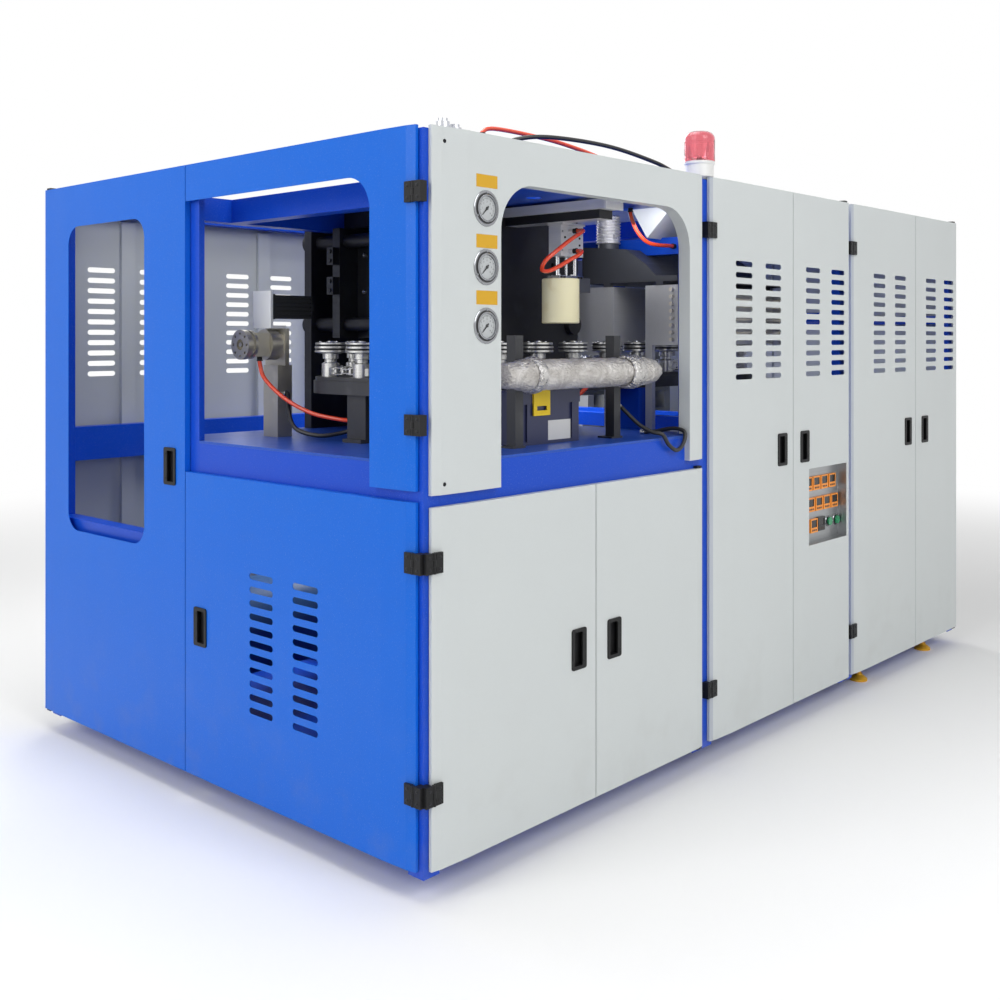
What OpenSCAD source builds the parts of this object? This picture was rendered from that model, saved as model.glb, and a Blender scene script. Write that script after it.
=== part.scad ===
// Stretch blow moulding machine in three bolted modules.
// Plan sizes are measured from the near corner of the covers: x along the white front,
// y into the machine over the blue end face, z up from the covers' lower edge.

/* [Machine] */
// Depth of the machine from the front doors to the back panels
machine_w = 2111; // [1950:1:2400]
// Height of the covers
cover_h = 2000; // [1970:1:2200]
// Height of the covers' lower edge above the floor
floor_gap = 80; // [60:1:140]
// Length of the blow module
blow_l = 1382; // [1370:1:1600]
// Length of the oven module
oven_l = 1110; // [1060:1:1400]
// Length of the cabinet module
cabinet_l = 1188; // [1000:1:1500]

/* [Frame] */
// Side of the square frame tube
tube = 60; // [50:1:80]
// Setback of the frame's faces from the cover faces
setback = 22; // [20:1:30]
// Height of the sill beam's top
sill_top = 1084; // [1060:1:1100]
// Height of the sill beam
sill_h = 130; // [110:1:150]
// Height of the top rails
rail_h = 80; // [50:1:84]
// Distance from the covers' top edge down to the deck plate's top
deck_drop = 95; // [95:1:110]
// Thickness of the bed plate and the deck plate
plate_t = 8; // [6:1:12]
// Depth of the bed plate from the front
bed_d = 1295; // [1280:1:1600]
// Place of the end face's middle post along the end face
mid_post_y = 1084; // [1070:1:1090]
// Diameter of the levelling feet's pads
foot_d = 74; // [60:1:100]

/* [Doors and covers] */
// Thickness of the sheet
sheet_t = 2; // [1.5:0.1:3]
// Depth of the doors over their folded edges
door_d = 20; // [16:1:20]
// Height of the lower doors
lower_door_h = 980; // [965:1:990]
// Height of the upper covers' lower edge
upper_z = 1006; // [1000:1:1020]
// Place of the corner hinge lines from the covers' corner
corner_hinge = 40; // [40:1:46]
// Distance of the other hinge lines from their module's edge
strip_w = 28; // [28:1:36]
// Width of the bevel beside a hinge
bevel_w = 32; // [28:1:40]
// Width of the bevel and the chamfer beside a hinge
chamfer_w = 128; // [100:1:150]
// Gap between two doors of a pair
door_gap = 4; // [3:1:6]
// Width of a vent slot
slot_w = 119; // [90:1:125]
// Height of a vent slot
slot_h = 20; // [12:1:24]
// Pitch of the vent slots
slot_pitch = 41.5; // [36:0.5:46]
// Number of vent slots in a column
slot_rows = 11; // [5:1:12]
// Radius of the arch opening's corners
arch_r = 140; // [60:1:180]
// Width of a door pull
pull_w = 70; // [60:1:76]
// Height of a door pull
pull_h = 125; // [100:1:140]
// Height of a hinge leaf
leaf_h = 56; // [44:1:70]
// Radius of a hinge barrel
barrel_r = 6; // [5:0.5:6]

/* [Gauges and controls] */
// Diameter of a gauge flange
gauge_d = 101; // [86:1:110]
// Place of the gauges along the front
gauge_x = 243; // [238:1:246]
// Height of the middle gauge
gauge_z = 1627; // [1600:1:1650]
// Pitch of the gauges
gauge_pitch = 164; // [130:1:170]
// Width of the control panel's cut-out
panel_w = 329; // [329:1:340]
// Height of the control panel's cut-out
panel_h = 307; // [300:1:340]
// Height of the control panel's lower edge
panel_z = 600; // [500:1:700]
// Diameter of a push button
button_d = 34; // [28:1:34]

/* [Blow station] */
// Height of the chain rail's top above the bed
rail_top_h = 208; // [200:1:215]
// Left end of the chain loop
loop_x0 = 350; // [345:1:360]
// Front row of the chain loop
loop_y0 = 350; // [345:1:355]
// Rear row of the chain loop, where the moulds close
loop_y1 = 910; // [905:1:915]
// Number of mandrels on the chain
mandrels = 25; // [20:1:25]
// Diameter of a mandrel's disc
disc_d = 105; // [80:1:110]
// Thickness of the clamp's end plates
clamp_t = 40; // [30:1:42]
// Stroke of each mould half
mould_stroke = 80; // [60:1:80]
// Thickness of a mould half
mould_t = 80; // [80:1:82]
// Diameter of the clamp's tie bars
tie_d = 50; // [40:1:56]
// Diameter of the lagged pipe
pipe_d = 100; // [80:1:104]
// Diameter of the loader's nylon head
head_d = 130; // [100:1:136]
// Diameter of the beacon's dome
dome_d = 110; // [90:1:120]
// Diameter of the air receiver
tank_d = 360; // [300:1:420]

/* [Hidden] */

// Clearance between pieces that seat on each other, and around pins
seat = 0.3;
pin_clear = 0.1;
// How far hinge barrels and gauges stand proud of the covers
side_proud = barrel_r;
front_proud = 8;

// Module edges along the front
oven_x = blow_l;
cabinet_x = blow_l + oven_l;
machine_l = blow_l + oven_l + cabinet_l;
frame_gap = 0.4;
blow_frame_x = [setback, oven_x - frame_gap];
oven_frame_x = [oven_x, cabinet_x - frame_gap];
cabinet_frame_x = [cabinet_x, machine_l - setback];
frame_y = [setback, machine_w - setback];

// The machine's middle, which is the part's origin
mid_x = (machine_l - side_proud) / 2;
mid_y = (machine_w - front_proud) / 2;

// Heights
post_drop = 20;
frame_top = cover_h - 8;
deck_z = cover_h - deck_drop;
bed_z = sill_top + plate_t;
sill_z = sill_top - sill_h;
rail_z = bed_z + rail_top_h;
fixed_d = setback - seat;

// Door edges along the front: hinge lines, splits and right ends
front_split = 743;
blow_cover_end = blow_l - 27;
oven_hinge = oven_x + strip_w;
oven_split = oven_x + 617;
oven_end = cabinet_x - 14;
cabinet_hinge = cabinet_x + strip_w;
cabinet_split = cabinet_x + 673;
cabinet_end = machine_l - 25;
side_split = mid_post_y + 49;
side_end = machine_w - 4;
edge_d = door_d / 2;
bevel_d = door_d / 5;

// Slot columns along each door, by their middle
slot_top = 1712;
front_slots_oven_left = [oven_x + 249, oven_x + 463];
front_slots_oven_right = [oven_x + 781, oven_x + 998];
front_slots_cabinet_left = [cabinet_x + 286, cabinet_x + 505];
front_slots_cabinet_right = [cabinet_x + 851, cabinet_x + 1066];
side_slots = [500, 716];
side_slot_top = 704;

// Window of the end face's tall door and of the upper cover
tall_window_y = [side_split + 255, side_split + 792];
tall_window_z = [713, 1845];
tall_window_r = 70;
cover_window_y = 215;
band_drop = 120;
cover_window_r = 95;

// Arch opening
arch_x = [305, blow_l - 112];
arch_drop = 128;
lip_d = 45;

// Door pulls by their middle
pull_low_z = 485;
pull_high_z = 1000;
pull_inset = 86;

// Chain loop
loop_x1 = oven_x + 918;
loop_r = 150;
loop_w = loop_y1 - loop_y0;
loop_len = 2 * (loop_x1 - loop_x0 + loop_w - 4 * loop_r) + 2 * PI * loop_r;
mandrel_pitch = loop_len / mandrels;
links_per_mandrel = 5;
link_pitch = mandrel_pitch / links_per_mandrel;
loop_start = loop_y1 - loop_r - 652;
rail_half = 55;
rail_h2 = 54;
disc_top = rail_z + 115;

// Blow clamp
clamp_x = [600, 1340];
clamp_front_y = 550;
clamp_rear_y = 2 * loop_y1 - clamp_front_y;
tie_inset = 45;
tie_low_z = disc_top + 65;
tie_high_z = deck_z - rail_h - tie_d / 2 - 15;
mould_z = [disc_top + 15, disc_top + 375];
mould_x = [clamp_x[0] + 90, clamp_x[1] - 90];
platen_t = 40;
ram_r = 20;
ram_box = 70;
mould_gap = 0.2;

// Loader over the front row
loader_x = 1010;
loader_y = 338;
loader_z = [deck_z - 194, deck_z - 87];
rod_x = [-47, 0, 47];
rod_r = [8, 6, 8];
head_plate_z = 1635;
head_z = [1480, 1635];

$fn = 48;

// Helpers

module place() translate([-mid_x, -mid_y, floor_gap]) children();
module on_side() mirror([1, -1, 0]) children();
module on_back() translate([0, machine_w, 0]) mirror([0, 1, 0]) children();
module on_end() translate([machine_l, 0, 0]) mirror([1, 0, 0]) on_side() children();
module upright(d0, d1) translate([0, d1, 0]) rotate([90, 0, 0]) linear_extrude(d1 - d0) children();
module box(a, b) translate(a) cube(b - a);
module along_x(x0, x1, y, z, r) translate([x0, y, z]) rotate([0, 90, 0]) cylinder(r = r, h = x1 - x0);
module along_y(x, y0, y1, z, r) translate([x, y1, z]) rotate([90, 0, 0]) cylinder(r = r, h = y1 - y0);
module along_z(x, y, z0, z1, r) translate([x, y, z0]) cylinder(r = r, h = z1 - z0);

// Slot outline with round ends, about its middle
module slot2d(w, h) {
  square([w - h, h], center = true);
  for (s = [-1, 1]) translate([s * (w - h) / 2, 0]) circle(d = h);
}

// Rectangle with round corners between two corner points
module round_rect(a, b, r) {
  translate([a[0] + r, a[1]]) square([b[0] - a[0] - 2 * r, b[1] - a[1]]);
  translate([a[0], a[1] + r]) square([b[0] - a[0], b[1] - a[1] - 2 * r]);
  for (x = [a[0] + r, b[0] - r], y = [a[1] + r, b[1] - r]) translate([x, y]) circle(r = r);
}

// Opening with two round top corners, open at the bottom
module arch2d(a, b, r) {
  translate(a) square([b[0] - a[0], b[1] - a[1] - r]);
  translate([a[0] + r, b[1] - r - 1]) square([b[0] - a[0] - 2 * r, r + 1]);
  for (x = [a[0] + r, b[0] - r]) translate([x, b[1] - r]) circle(r = r);
}

// Columns of vent slots cut through a face
module slots(columns, top) {
  for (s = columns, i = [0 : slot_rows - 1])
    translate([s, top - slot_h / 2 - i * slot_pitch]) slot2d(slot_w, slot_h);
}

// Plan section of a folded sheet door or cover, grown inwards by t for its hollow
function left_edge(s, depth, bevelled, t) = bevelled
  ? [[s + t, depth + t], [s + t, edge_d + t], [s + bevel_w, bevel_d + t], [s + chamfer_w, t]]
  : [[s + t, depth + t], [s + t, t]];
function right_edge(s, depth, bevelled, t) = bevelled
  ? [[s - bevel_w, t], [s - t, edge_d / 2 + t], [s - t, depth + t]]
  : [[s - t, t], [s - t, depth + t]];

module tray(s, z, depth, left = false, right = false) {
  difference() {
    translate([0, 0, z[0]]) linear_extrude(z[1] - z[0])
      polygon(concat(left_edge(s[0], depth, left, 0), right_edge(s[1], depth, right, 0)));
    translate([0, 0, z[0] + sheet_t]) linear_extrude(z[1] - z[0] - 2 * sheet_t)
      polygon(concat(left_edge(s[0], depth, left, sheet_t), right_edge(s[1], depth, right, sheet_t)));
  }
}

// Square cut-out in the sheet for a door pull
module pull_cut(s, z) upright(-1, sheet_t + 1) translate([s, z]) square([pull_w - 12, pull_h - 13], center = true);

// Moulded door pull: bezel, hand recess with a grip lip, and two screws
module pull(s, z) {
  color("#1a1a1c") translate([s, 0, z]) {
    difference() {
      union() {
        upright(-4, 0) round_rect([-pull_w / 2, -pull_h / 2], [pull_w / 2, pull_h / 2], 8);
        upright(-2, door_d - 5) square([pull_w - 13, pull_h - 14], center = true);
      }
      upright(-5, door_d - 8) round_rect([5 - pull_w / 2 + 6, 11 - pull_h / 2], [pull_w / 2 - 20, pull_h / 2 - 11], 4);
      upright(1, door_d - 8) round_rect([5 - pull_w / 2 + 6, 11 - pull_h / 2], [pull_w / 2 - 11, pull_h / 2 - 11], 4);
    }
    for (k = [-1, 1]) along_y(pull_w / 2 - 11, -5, -3, k * (pull_h / 2 - 22), 4);
  }
}

// Vertical pin hole at a pivot door's corner
module pivot_cut(s, z) {
  for (e = z) along_z(s, pivot_d, e - sheet_t - 1, e + sheet_t + 1, pin_r + pin_clear);
}

pin_r = 3;
pivot_d = 11;
pivot_in = 5;
barrel_gap = 1;
knuckle_h = leaf_h / 3;

// Moving leaf of a cast hinge on a door's bevel, its middle at height z
module moving_leaf(s, z) {
  color("#18181a") translate([s, 0, z]) difference() {
    union() {
      translate([0, 0, -leaf_h / 2]) linear_extrude(leaf_h)
        polygon([
          [barrel_r + barrel_gap, -3], [bevel_w, -3], [bevel_w, bevel_d],
          [barrel_r + barrel_gap, edge_d - (edge_d - bevel_d) * (barrel_r + barrel_gap) / bevel_w]
        ]);
      along_z(0, 0, seat - knuckle_h / 2, knuckle_h / 2 - seat, barrel_r);
      box([0, -3, seat - knuckle_h / 2], [barrel_r + 2, 3, knuckle_h / 2 - seat]);
    }
    along_z(0, 0, -leaf_h, leaf_h, pin_r - 1 + pin_clear);
  }
}

// Fixed leaf with its pin, on a frame post whose edge lies w before the hinge line
module fixed_leaf(s, z, w) {
  color("#18181a") translate([s, 0, z]) {
    box([-w, -3, -leaf_h / 2], [-barrel_r - barrel_gap, setback, leaf_h / 2]);
    for (k = [-1, 1]) {
      zc = k * (leaf_h - knuckle_h) / 2;
      along_z(0, 0, zc - knuckle_h / 2, zc + knuckle_h / 2, barrel_r);
      box([-barrel_r - 2, -3, zc - knuckle_h / 2], [0, 3, zc + knuckle_h / 2]);
    }
    along_z(0, 0, -leaf_h / 2, leaf_h / 2, pin_r - 1);
  }
}

// Pivot bracket with its pin, fixed to a frame face, pin pointing along k
module pivot_bracket(s, z, k) {
  color("#18181a") {
    box([s - 24, pivot_d - 5, z - 3], [s + 4, setback, z + 3]);
    along_z(s, pivot_d, z - (k > 0 ? 0 : 16), z + (k > 0 ? 16 : 0), pin_r);
  }
}

// Frames

blue = "#2a6ee0";
dark_blue = "#1c49b8";
white = "#d5dad8";

// Each frame member is a solid of its own, a weld gap short of the member that it butts against
module member(a, b, x = [0, 0], y = [0, 0], z = [0, 0])
  box([a[0] + x[0] * seat, a[1] + y[0] * seat, a[2] + z[0] * seat], [b[0] - x[1] * seat, b[1] - y[1] * seat, b[2] - z[1] * seat]);

// Rails between the posts of a module at one height
module rail_ring(x, z) {
  for (py = [frame_y[0], frame_y[1] - tube]) member([x[0] + tube, py, z[0]], [x[1] - tube, py + tube, z[1]], x = [1, 1]);
  for (px = [x[0], x[1] - tube]) side_rail(px, z);
}

// One rail along the depth, between a front and a rear post or rail
module side_rail(px, z) member([px, frame_y[0] + tube, z[0]], [px + tube, frame_y[1] - tube, z[1]], y = [1, 1]);

module corner_posts(x, top_z) {
  for (px = [x[0], x[1] - tube], py = [frame_y[0], frame_y[1] - tube])
    box([px, py, -post_drop], [px + tube, py + tube, top_z]);
}

// Cross rails that carry the levelling feet, and the floor sheets between them
module foot_rails(x) {
  lines = foot_lines(x);
  for (fx = lines) side_rail(fx - tube / 2, [0, tube]);
  bays = [x[0] + tube, lines[0] - tube / 2, lines[0] + tube / 2, lines[1] - tube / 2, lines[1] + tube / 2, x[1] - tube];
  for (i = [0, 2, 4])
    member([bays[i], frame_y[0] + tube, 0], [bays[i + 1], frame_y[1] - tube, 3], x = [1, 1], y = [1, 1]);
}

foot_inset = 238;
function foot_lines(x) = [x[0] + foot_inset, x[1] - foot_inset];

module blow_frame() place() color(blue) {
  x = blow_frame_x;
  right = x[1] - tube;
  corner_posts(x, frame_top);
  foot_rails(x);
  // Rings of rails at the floor, at bed height and at the top; the end face's are cut at its middle post
  for (z = [[0, tube], [sill_z, sill_top], [frame_top - rail_h, frame_top]]) {
    for (py = [frame_y[0], frame_y[1] - tube]) member([x[0] + tube, py, z[0]], [right, py + tube, z[1]], x = [1, 1]);
    side_rail(right, z);
    member([x[0], frame_y[0] + tube, z[0]], [x[0] + tube, mid_post_y, z[1]], y = [1, 1]);
  }
  // Behind the tall door the end face has rails at the floor and at the top only
  for (z = [[0, tube], [frame_top - rail_h, frame_top]])
    member([x[0], mid_post_y + 80, z[0]], [x[0] + tube, frame_y[1] - tube, z[1]], y = [1, 1]);
  // Middle post of the end face, and its partner on the oven side
  member([x[0], mid_post_y, 0], [x[0] + 20, mid_post_y + 80, frame_top]);
  member([right, cross_y, sill_top], [x[1], cross_y + tube, frame_top - rail_h], z = [1, 1]);
  // Rail under the tall window
  member([x[0], mid_post_y + 80, 690], [x[0] + tube, frame_y[1] - tube, 690 + tube], y = [1, 1]);
  // Deck with its side beam and cross rail
  member([x[0] + 20, cross_y, deck_z - rail_h], [right, cross_y + tube, deck_z], x = [1, 1]);
  member([deck_x, frame_y[0] + tube, deck_z - rail_h], [deck_x + tube, cross_y, deck_z - plate_t], y = [1, 1], z = [0, 1]);
  member([deck_x, frame_y[0], deck_z], [deck_x + tube, frame_y[0] + tube, frame_top - rail_h], z = [1, 1]);
  difference() {
    member([deck_x, frame_y[0], deck_z - plate_t], [right, cross_y, deck_z], x = [0, 1], y = [0, 1], z = [0, 1]);
    along_z(815, 318, deck_z - 20, deck_z + 1, 26);
  }
}

cross_y = mid_post_y + 76;
deck_x = 200;

module oven_frame() place() color(blue) {
  x = oven_frame_x;
  bed_rail = [sill_top - tube, sill_top];
  notch = [panel_z - 4, panel_z + panel_h + 4];
  right = x[1] - tube;
  // Posts; the right front one is cut back beside the control panel
  for (p = [[x[0], frame_y[0]], [x[0], frame_y[1] - tube], [right, frame_y[1] - tube]])
    box([p[0], p[1], -post_drop], [p[0] + tube, p[1] + tube, frame_top]);
  member([right, frame_y[0], -post_drop], [x[1], frame_y[0] + tube, notch[0]]);
  member([panel_x[1] + 4, frame_y[0], notch[0]], [x[1], frame_y[0] + tube, notch[1]], z = [1, 1]);
  member([right, frame_y[0], notch[1]], [x[1], frame_y[0] + tube, frame_top]);
  for (z = [[0, tube], bed_rail, [frame_top - rail_h, frame_top]]) rail_ring(x, z);
  foot_rails(x);
  // Entry rail behind the hood's end, on short rails from the left posts
  z = entry_rail_z;
  member([entry_rail_x, frame_y[0] + tube, z[0]], [entry_rail_x + tube, frame_y[1] - tube, z[1]], y = [1, 1]);
  for (py = [frame_y[0], frame_y[1] - tube])
    member([x[0] + tube, py, z[0]], [entry_rail_x + tube, py + tube, z[1]], x = [1, 0]);
  // Cross rail and pedestals that carry the chain rail and the tunnel
  side_rail(tunnel_x[1] - 40, bed_rail);
  for (px = [x[0], tunnel_x[1] - 40], py = [loop_y0, loop_y1])
    member([px, py - 55, sill_top], [px + tube, py + 55, rail_z - rail_h2], z = [1, 1]);
  // Upright and rails that hold the control panel
  inner = frame_y[0] + 22;
  member([panel_x[0] - tube, inner, tube], [panel_x[0] - 20, frame_y[0] + tube, panel_z - 50], z = [1, 1]);
  member([panel_x[0] - tube, inner, panel_z - 10], [panel_x[0] - 20, frame_y[0] + tube, panel_z + panel_h + 10], z = [1, 1]);
  member([panel_x[0] - tube, inner, panel_z + panel_h + 50], [panel_x[0] - 20, frame_y[0] + tube, bed_rail[0]], z = [1, 1]);
  for (pz = [panel_z - 50, panel_z + panel_h + 10])
    member([panel_x[0] - tube, inner, pz], [right, frame_y[0] + tube, pz + 40], x = [0, 1]);
}

entry_rail_x = oven_x + 110;
entry_rail_z = [1742, 1805];
panel_x = [oven_end - 20 - panel_w, oven_end - 20];

module cabinet_frame() place() color(blue) {
  x = cabinet_frame_x;
  corner_posts(x, frame_top);
  for (z = [[0, tube], [frame_top - rail_h, frame_top]]) rail_ring(x, z);
  foot_rails(x);
  // Side rails, with the cross rails that hold the switchgear's back plate
  for (z = [300, 1500]) {
    for (px = [x[0], x[1] - tube]) side_rail(px, [z, z + 40]);
    member([x[0] + tube, gear_y, z], [x[1] - tube, gear_y + 40, z + 40], x = [1, 1]);
  }
}

gear_y = machine_w - 500;

function feet_of(x, front) = [for (fx = foot_lines(x), fy = [front, machine_w - 300]) [fx, fy]];

module levelling_feet() place() color("#e8a81c") {
  for (p = concat(
    feet_of(blow_frame_x, 300), feet_of(oven_frame_x, 300), feet_of(cabinet_frame_x, setback + 53)
  )) translate([p[0], p[1], -floor_gap]) {
    rotate_extrude() polygon([
      [0, 0], [foot_d / 2, 0], [foot_d / 2, 10], [foot_d / 2 - 10, 18], [16, 26], [16, 32], [10, 32],
      [10, floor_gap - 14], [18, floor_gap - 14], [18, floor_gap - seat], [0, floor_gap - seat]
    ]);
  }
}

module bed_plate() place() color(dark_blue) {
  x = [blow_frame_x[0], blow_frame_x[1]];
  difference() {
    box([x[0], frame_y[0], sill_top + seat], [x[1], bed_d, bed_z]);
    // Notches round the posts
    box([x[0] - 1, frame_y[0] - 1, 0], [x[0] + tube + seat, frame_y[0] + tube + seat, bed_z + 1]);
    box([x[1] - tube - seat, frame_y[0] - 1, 0], [x[1] + 1, frame_y[0] + tube + seat, bed_z + 1]);
    box([x[0] - 1, mid_post_y - seat, 0], [x[0] + 20 + seat, mid_post_y + 80 + seat, bed_z + 1]);
    box([x[1] - tube - seat, cross_y - seat, 0], [x[1] + 1, cross_y + tube + seat, bed_z + 1]);
  }
}

// Fixed covers

module front_arch_cover() place() color(white) {
  s = [corner_hinge, blow_cover_end];
  top = cover_h - arch_drop;
  difference() {
    union() {
      tray(s, [upper_z, cover_h], fixed_d, true, true);
      upright(0, fixed_d) intersection() {
        arch2d([arch_x[0] - sheet_t, upper_z], [arch_x[1] + sheet_t, top + sheet_t], arch_r + sheet_t);
        translate([s[0], upper_z]) square([s[1] - s[0], cover_h]);
      }
      upright(fixed_d - 1, lip_d)
        arch2d([arch_x[0] - sheet_t, bed_z + 6], [arch_x[1] + sheet_t, top + sheet_t], arch_r + sheet_t);
    }
    upright(-1, lip_d + 1) arch2d([arch_x[0], upper_z - 1], [arch_x[1], top], arch_r);
    for (i = [-1 : 1]) along_y(gauge_x, -1, sheet_t + 1, gauge_z + i * gauge_pitch, gauge_body_r + 1);
    for (z = [upper_z + 28, cover_h - 40]) along_y(corner_hinge + 43, -1, fixed_d, z, 6);
  }
}

gauge_body_r = 33;

// A stiffener of hat section inside a panel, about s
module hat(s, z) {
  upright(sheet_t - 0.5, fixed_d - 2) difference() {
    translate([s - 31, z[0]]) square([62, z[1] - z[0]]);
    translate([s - 25, z[0] - 1]) square([50, z[1] - z[0] + 2]);
  }
  upright(fixed_d - 4, fixed_d - 2) translate([s - 31, z[0]]) square([62, z[1] - z[0]]);
}

module back_panel(x, hats, columns) {
  difference() {
    union() {
      tray([x[0] + 2, x[1] - 2], [0, cover_h], fixed_d);
      for (s = hats) hat(s, [100, cover_h - 100]);
    }
    upright(-1, sheet_t + 1) slots(columns, slot_top);
  }
}

module back_panels() place() on_back() color("#c9cdcb") {
  back_panel(blow_frame_x, [345, 1014], [235, 464, 884, 1120]);
  back_panel(oven_frame_x, [oven_x + 555], [oven_x + 249, oven_x + 445, oven_x + 665, oven_x + 861]);
  back_panel(cabinet_frame_x, [cabinet_x + 594], [cabinet_x + 286, cabinet_x + 482, cabinet_x + 706, cabinet_x + 902]);
}

module end_panel() place() on_end() color(white) difference() {
  union() {
    tray([setback + 2, machine_w - setback - 2], [0, cover_h], fixed_d);
    hat(machine_w / 2, [100, cover_h - 100]);
  }
  upright(-1, sheet_t + 1) slots([machine_w / 2 - 400, machine_w / 2 + 400], slot_top);
}

module roof_panels() place() color(white) {
  for (x = [oven_frame_x, cabinet_frame_x])
    box([x[0] + 4, frame_y[0] + 40, frame_top + seat], [x[1] - 4, frame_y[1] - 10, frame_top + seat + 3]);
}

// Hinged covers and doors

module side_upper_cover() place() on_side() color(blue) difference() {
  tray([corner_hinge, side_split - door_gap / 2], [upper_z + 12, cover_h], door_d, true);
  upright(-1, door_d + 2) {
    translate([cover_window_y + cover_window_r, upper_z - 1])
      square([side_split, cover_h - band_drop - upper_z + 1]);
    translate([cover_window_y, upper_z - 1]) square([side_split, cover_h - band_drop - upper_z + 1 - cover_window_r]);
    translate([cover_window_y + cover_window_r, cover_h - band_drop - cover_window_r]) circle(r = cover_window_r);
  }
}

module side_lower_door() place() on_side() color(blue) difference() {
  tray([corner_hinge, side_split - door_gap / 2], [0, lower_door_h + 8], door_d, true);
  upright(-1, sheet_t + 1) slots(side_slots, side_slot_top);
  pull_cut(side_split - 90, pull_low_z + 6);
}

module side_tall_door() place() on_side() color(blue) difference() {
  tray([side_split + door_gap / 2, side_end], [0, cover_h], door_d);
  upright(-1, sheet_t + 1)
    round_rect([tall_window_y[0], tall_window_z[0]], [tall_window_y[1], tall_window_z[1]], tall_window_r);
  pull_cut(side_split + 91, pull_high_z);
  pivot_cut(side_end - pivot_in, [0, cover_h]);
}

module front_left_door() place() color(white) difference() {
  tray([corner_hinge, front_split - door_gap / 2], [0, lower_door_h - 6], door_d, true);
  pull_cut(front_split - pull_inset, pull_low_z - 6);
}

module front_right_door() place() color(white) difference() {
  tray([front_split + door_gap / 2, blow_cover_end], [0, lower_door_h - 6], door_d, false, true);
  pull_cut(front_split + pull_inset + 7, pull_low_z - 6);
  pivot_cut(blow_cover_end - pivot_in, [0, lower_door_h - 6]);
}

module oven_left_door() place() color(white) difference() {
  tray([oven_hinge, oven_split - door_gap / 2], [0, cover_h], door_d, true);
  upright(-1, sheet_t + 1) slots(front_slots_oven_left, slot_top);
  pull_cut(oven_split - pull_inset, pull_high_z);
}

module oven_right_door() place() color(white) difference() {
  tray([oven_split + door_gap / 2, oven_end], [0, cover_h], door_d);
  upright(-1, sheet_t + 1) {
    slots(front_slots_oven_right, slot_top);
    translate([panel_x[0], panel_z]) square([panel_w, panel_h]);
  }
  pull_cut(oven_split + pull_inset + 7, pull_high_z);
  pivot_cut(oven_end - pivot_in, [0, cover_h]);
}

module cabinet_left_door() place() color(white) difference() {
  tray([cabinet_hinge, cabinet_split - door_gap / 2], [0, cover_h], door_d, true);
  upright(-1, sheet_t + 1) slots(front_slots_cabinet_left, slot_top);
  pull_cut(cabinet_split - pull_inset, pull_high_z + 2);
}

module cabinet_right_door() place() color(white) difference() {
  tray([cabinet_split + door_gap / 2, cabinet_end], [0, cover_h], door_d);
  upright(-1, sheet_t + 1) slots(front_slots_cabinet_right, slot_top);
  pull_cut(cabinet_split + pull_inset + 16, pull_high_z + 2);
  pivot_cut(cabinet_end - pivot_in, [0, cover_h]);
}

// Hinge heights: lower pair, upper cover pair and full-height pair
low_hinges = [208, 827];
cover_hinges = [1196, cover_h - 180];
high_hinges = [186, cover_h - 188];

module side_upper_hinge_leaves() place() on_side() for (z = cover_hinges) moving_leaf(corner_hinge, z);

module side_lower_hardware() place() on_side() {
  for (z = low_hinges) moving_leaf(corner_hinge, z);
  pull(side_split - 90, pull_low_z + 6);
}

module side_tall_pull() place() on_side() pull(side_split + 91, pull_high_z);

module front_left_hardware() place() {
  for (z = low_hinges) moving_leaf(corner_hinge, z);
  pull(front_split - pull_inset, pull_low_z - 6);
}

module front_right_pull() place() pull(front_split + pull_inset + 7, pull_low_z - 6);

module oven_left_hardware() place() {
  for (z = high_hinges) moving_leaf(oven_hinge, z);
  pull(oven_split - pull_inset, pull_high_z);
}

module oven_right_pull() place() pull(oven_split + pull_inset + 7, pull_high_z);

module cabinet_left_hardware() place() {
  for (z = high_hinges) moving_leaf(cabinet_hinge, z);
  pull(cabinet_split - pull_inset, pull_high_z + 2);
}

module cabinet_right_pull() place() pull(cabinet_split + pull_inset + 16, pull_high_z + 2);

// Pivot bracket on top of a frame, reaching over a door
module top_bracket(s) {
  color("#18181a") {
    box([s - 24, pivot_d - 5, cover_h + 2], [s + 4, setback + 36, cover_h + 8]);
    box([s - 24, setback + 2, frame_top], [s - 14, setback + 36, cover_h + 3]);
    along_z(s, pivot_d, cover_h - 14, cover_h + 3, pin_r);
  }
}

module fixed_hinge_parts() place() {
  corner_w = corner_hinge - 9;
  on_side() for (z = concat(low_hinges, cover_hinges)) fixed_leaf(corner_hinge, z, corner_w);
  for (z = low_hinges) fixed_leaf(corner_hinge, z, corner_w);
  for (s = [oven_hinge, cabinet_hinge], z = high_hinges) fixed_leaf(s, z, strip_w);
  for (s = [blow_cover_end, oven_end, cabinet_end]) pivot_bracket(s - pivot_in, -5, 1);
  pivot_bracket(blow_cover_end - pivot_in, lower_door_h - 1, -1);
  for (s = [oven_end, cabinet_end]) top_bracket(s - pivot_in);
  on_side() {
    pivot_bracket(side_end - pivot_in, -5, 1);
    top_bracket(side_end - pivot_in);
  }
}

// Gauges

gauge_dial_d = -2.5;
pointer_len = 26;

module gauge_cases() place() color("#c8ccd0") {
  for (i = [-1 : 1]) translate([gauge_x, 0, gauge_z + i * gauge_pitch]) rotate([90, 0, 0]) {
    rotate_extrude() polygon([
      [0, -42], [gauge_body_r - 6, -42], [gauge_body_r, -36], [gauge_body_r, 0], [gauge_d / 2, 0],
      [gauge_d / 2, 2], [gauge_d / 2 - 2, 3], [39, 3], [39, 6], [37, front_proud], [34.5, front_proud],
      [34, -gauge_dial_d], [0, -gauge_dial_d]
    ]);
    cylinder(r = 1.5, h = 6.5);
    for (a = [90, 210, 330]) rotate([0, 0, a]) translate([gauge_d / 2 - 6.5, 0, 0]) cylinder(r = 3, h = 4.5);
  }
}

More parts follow.
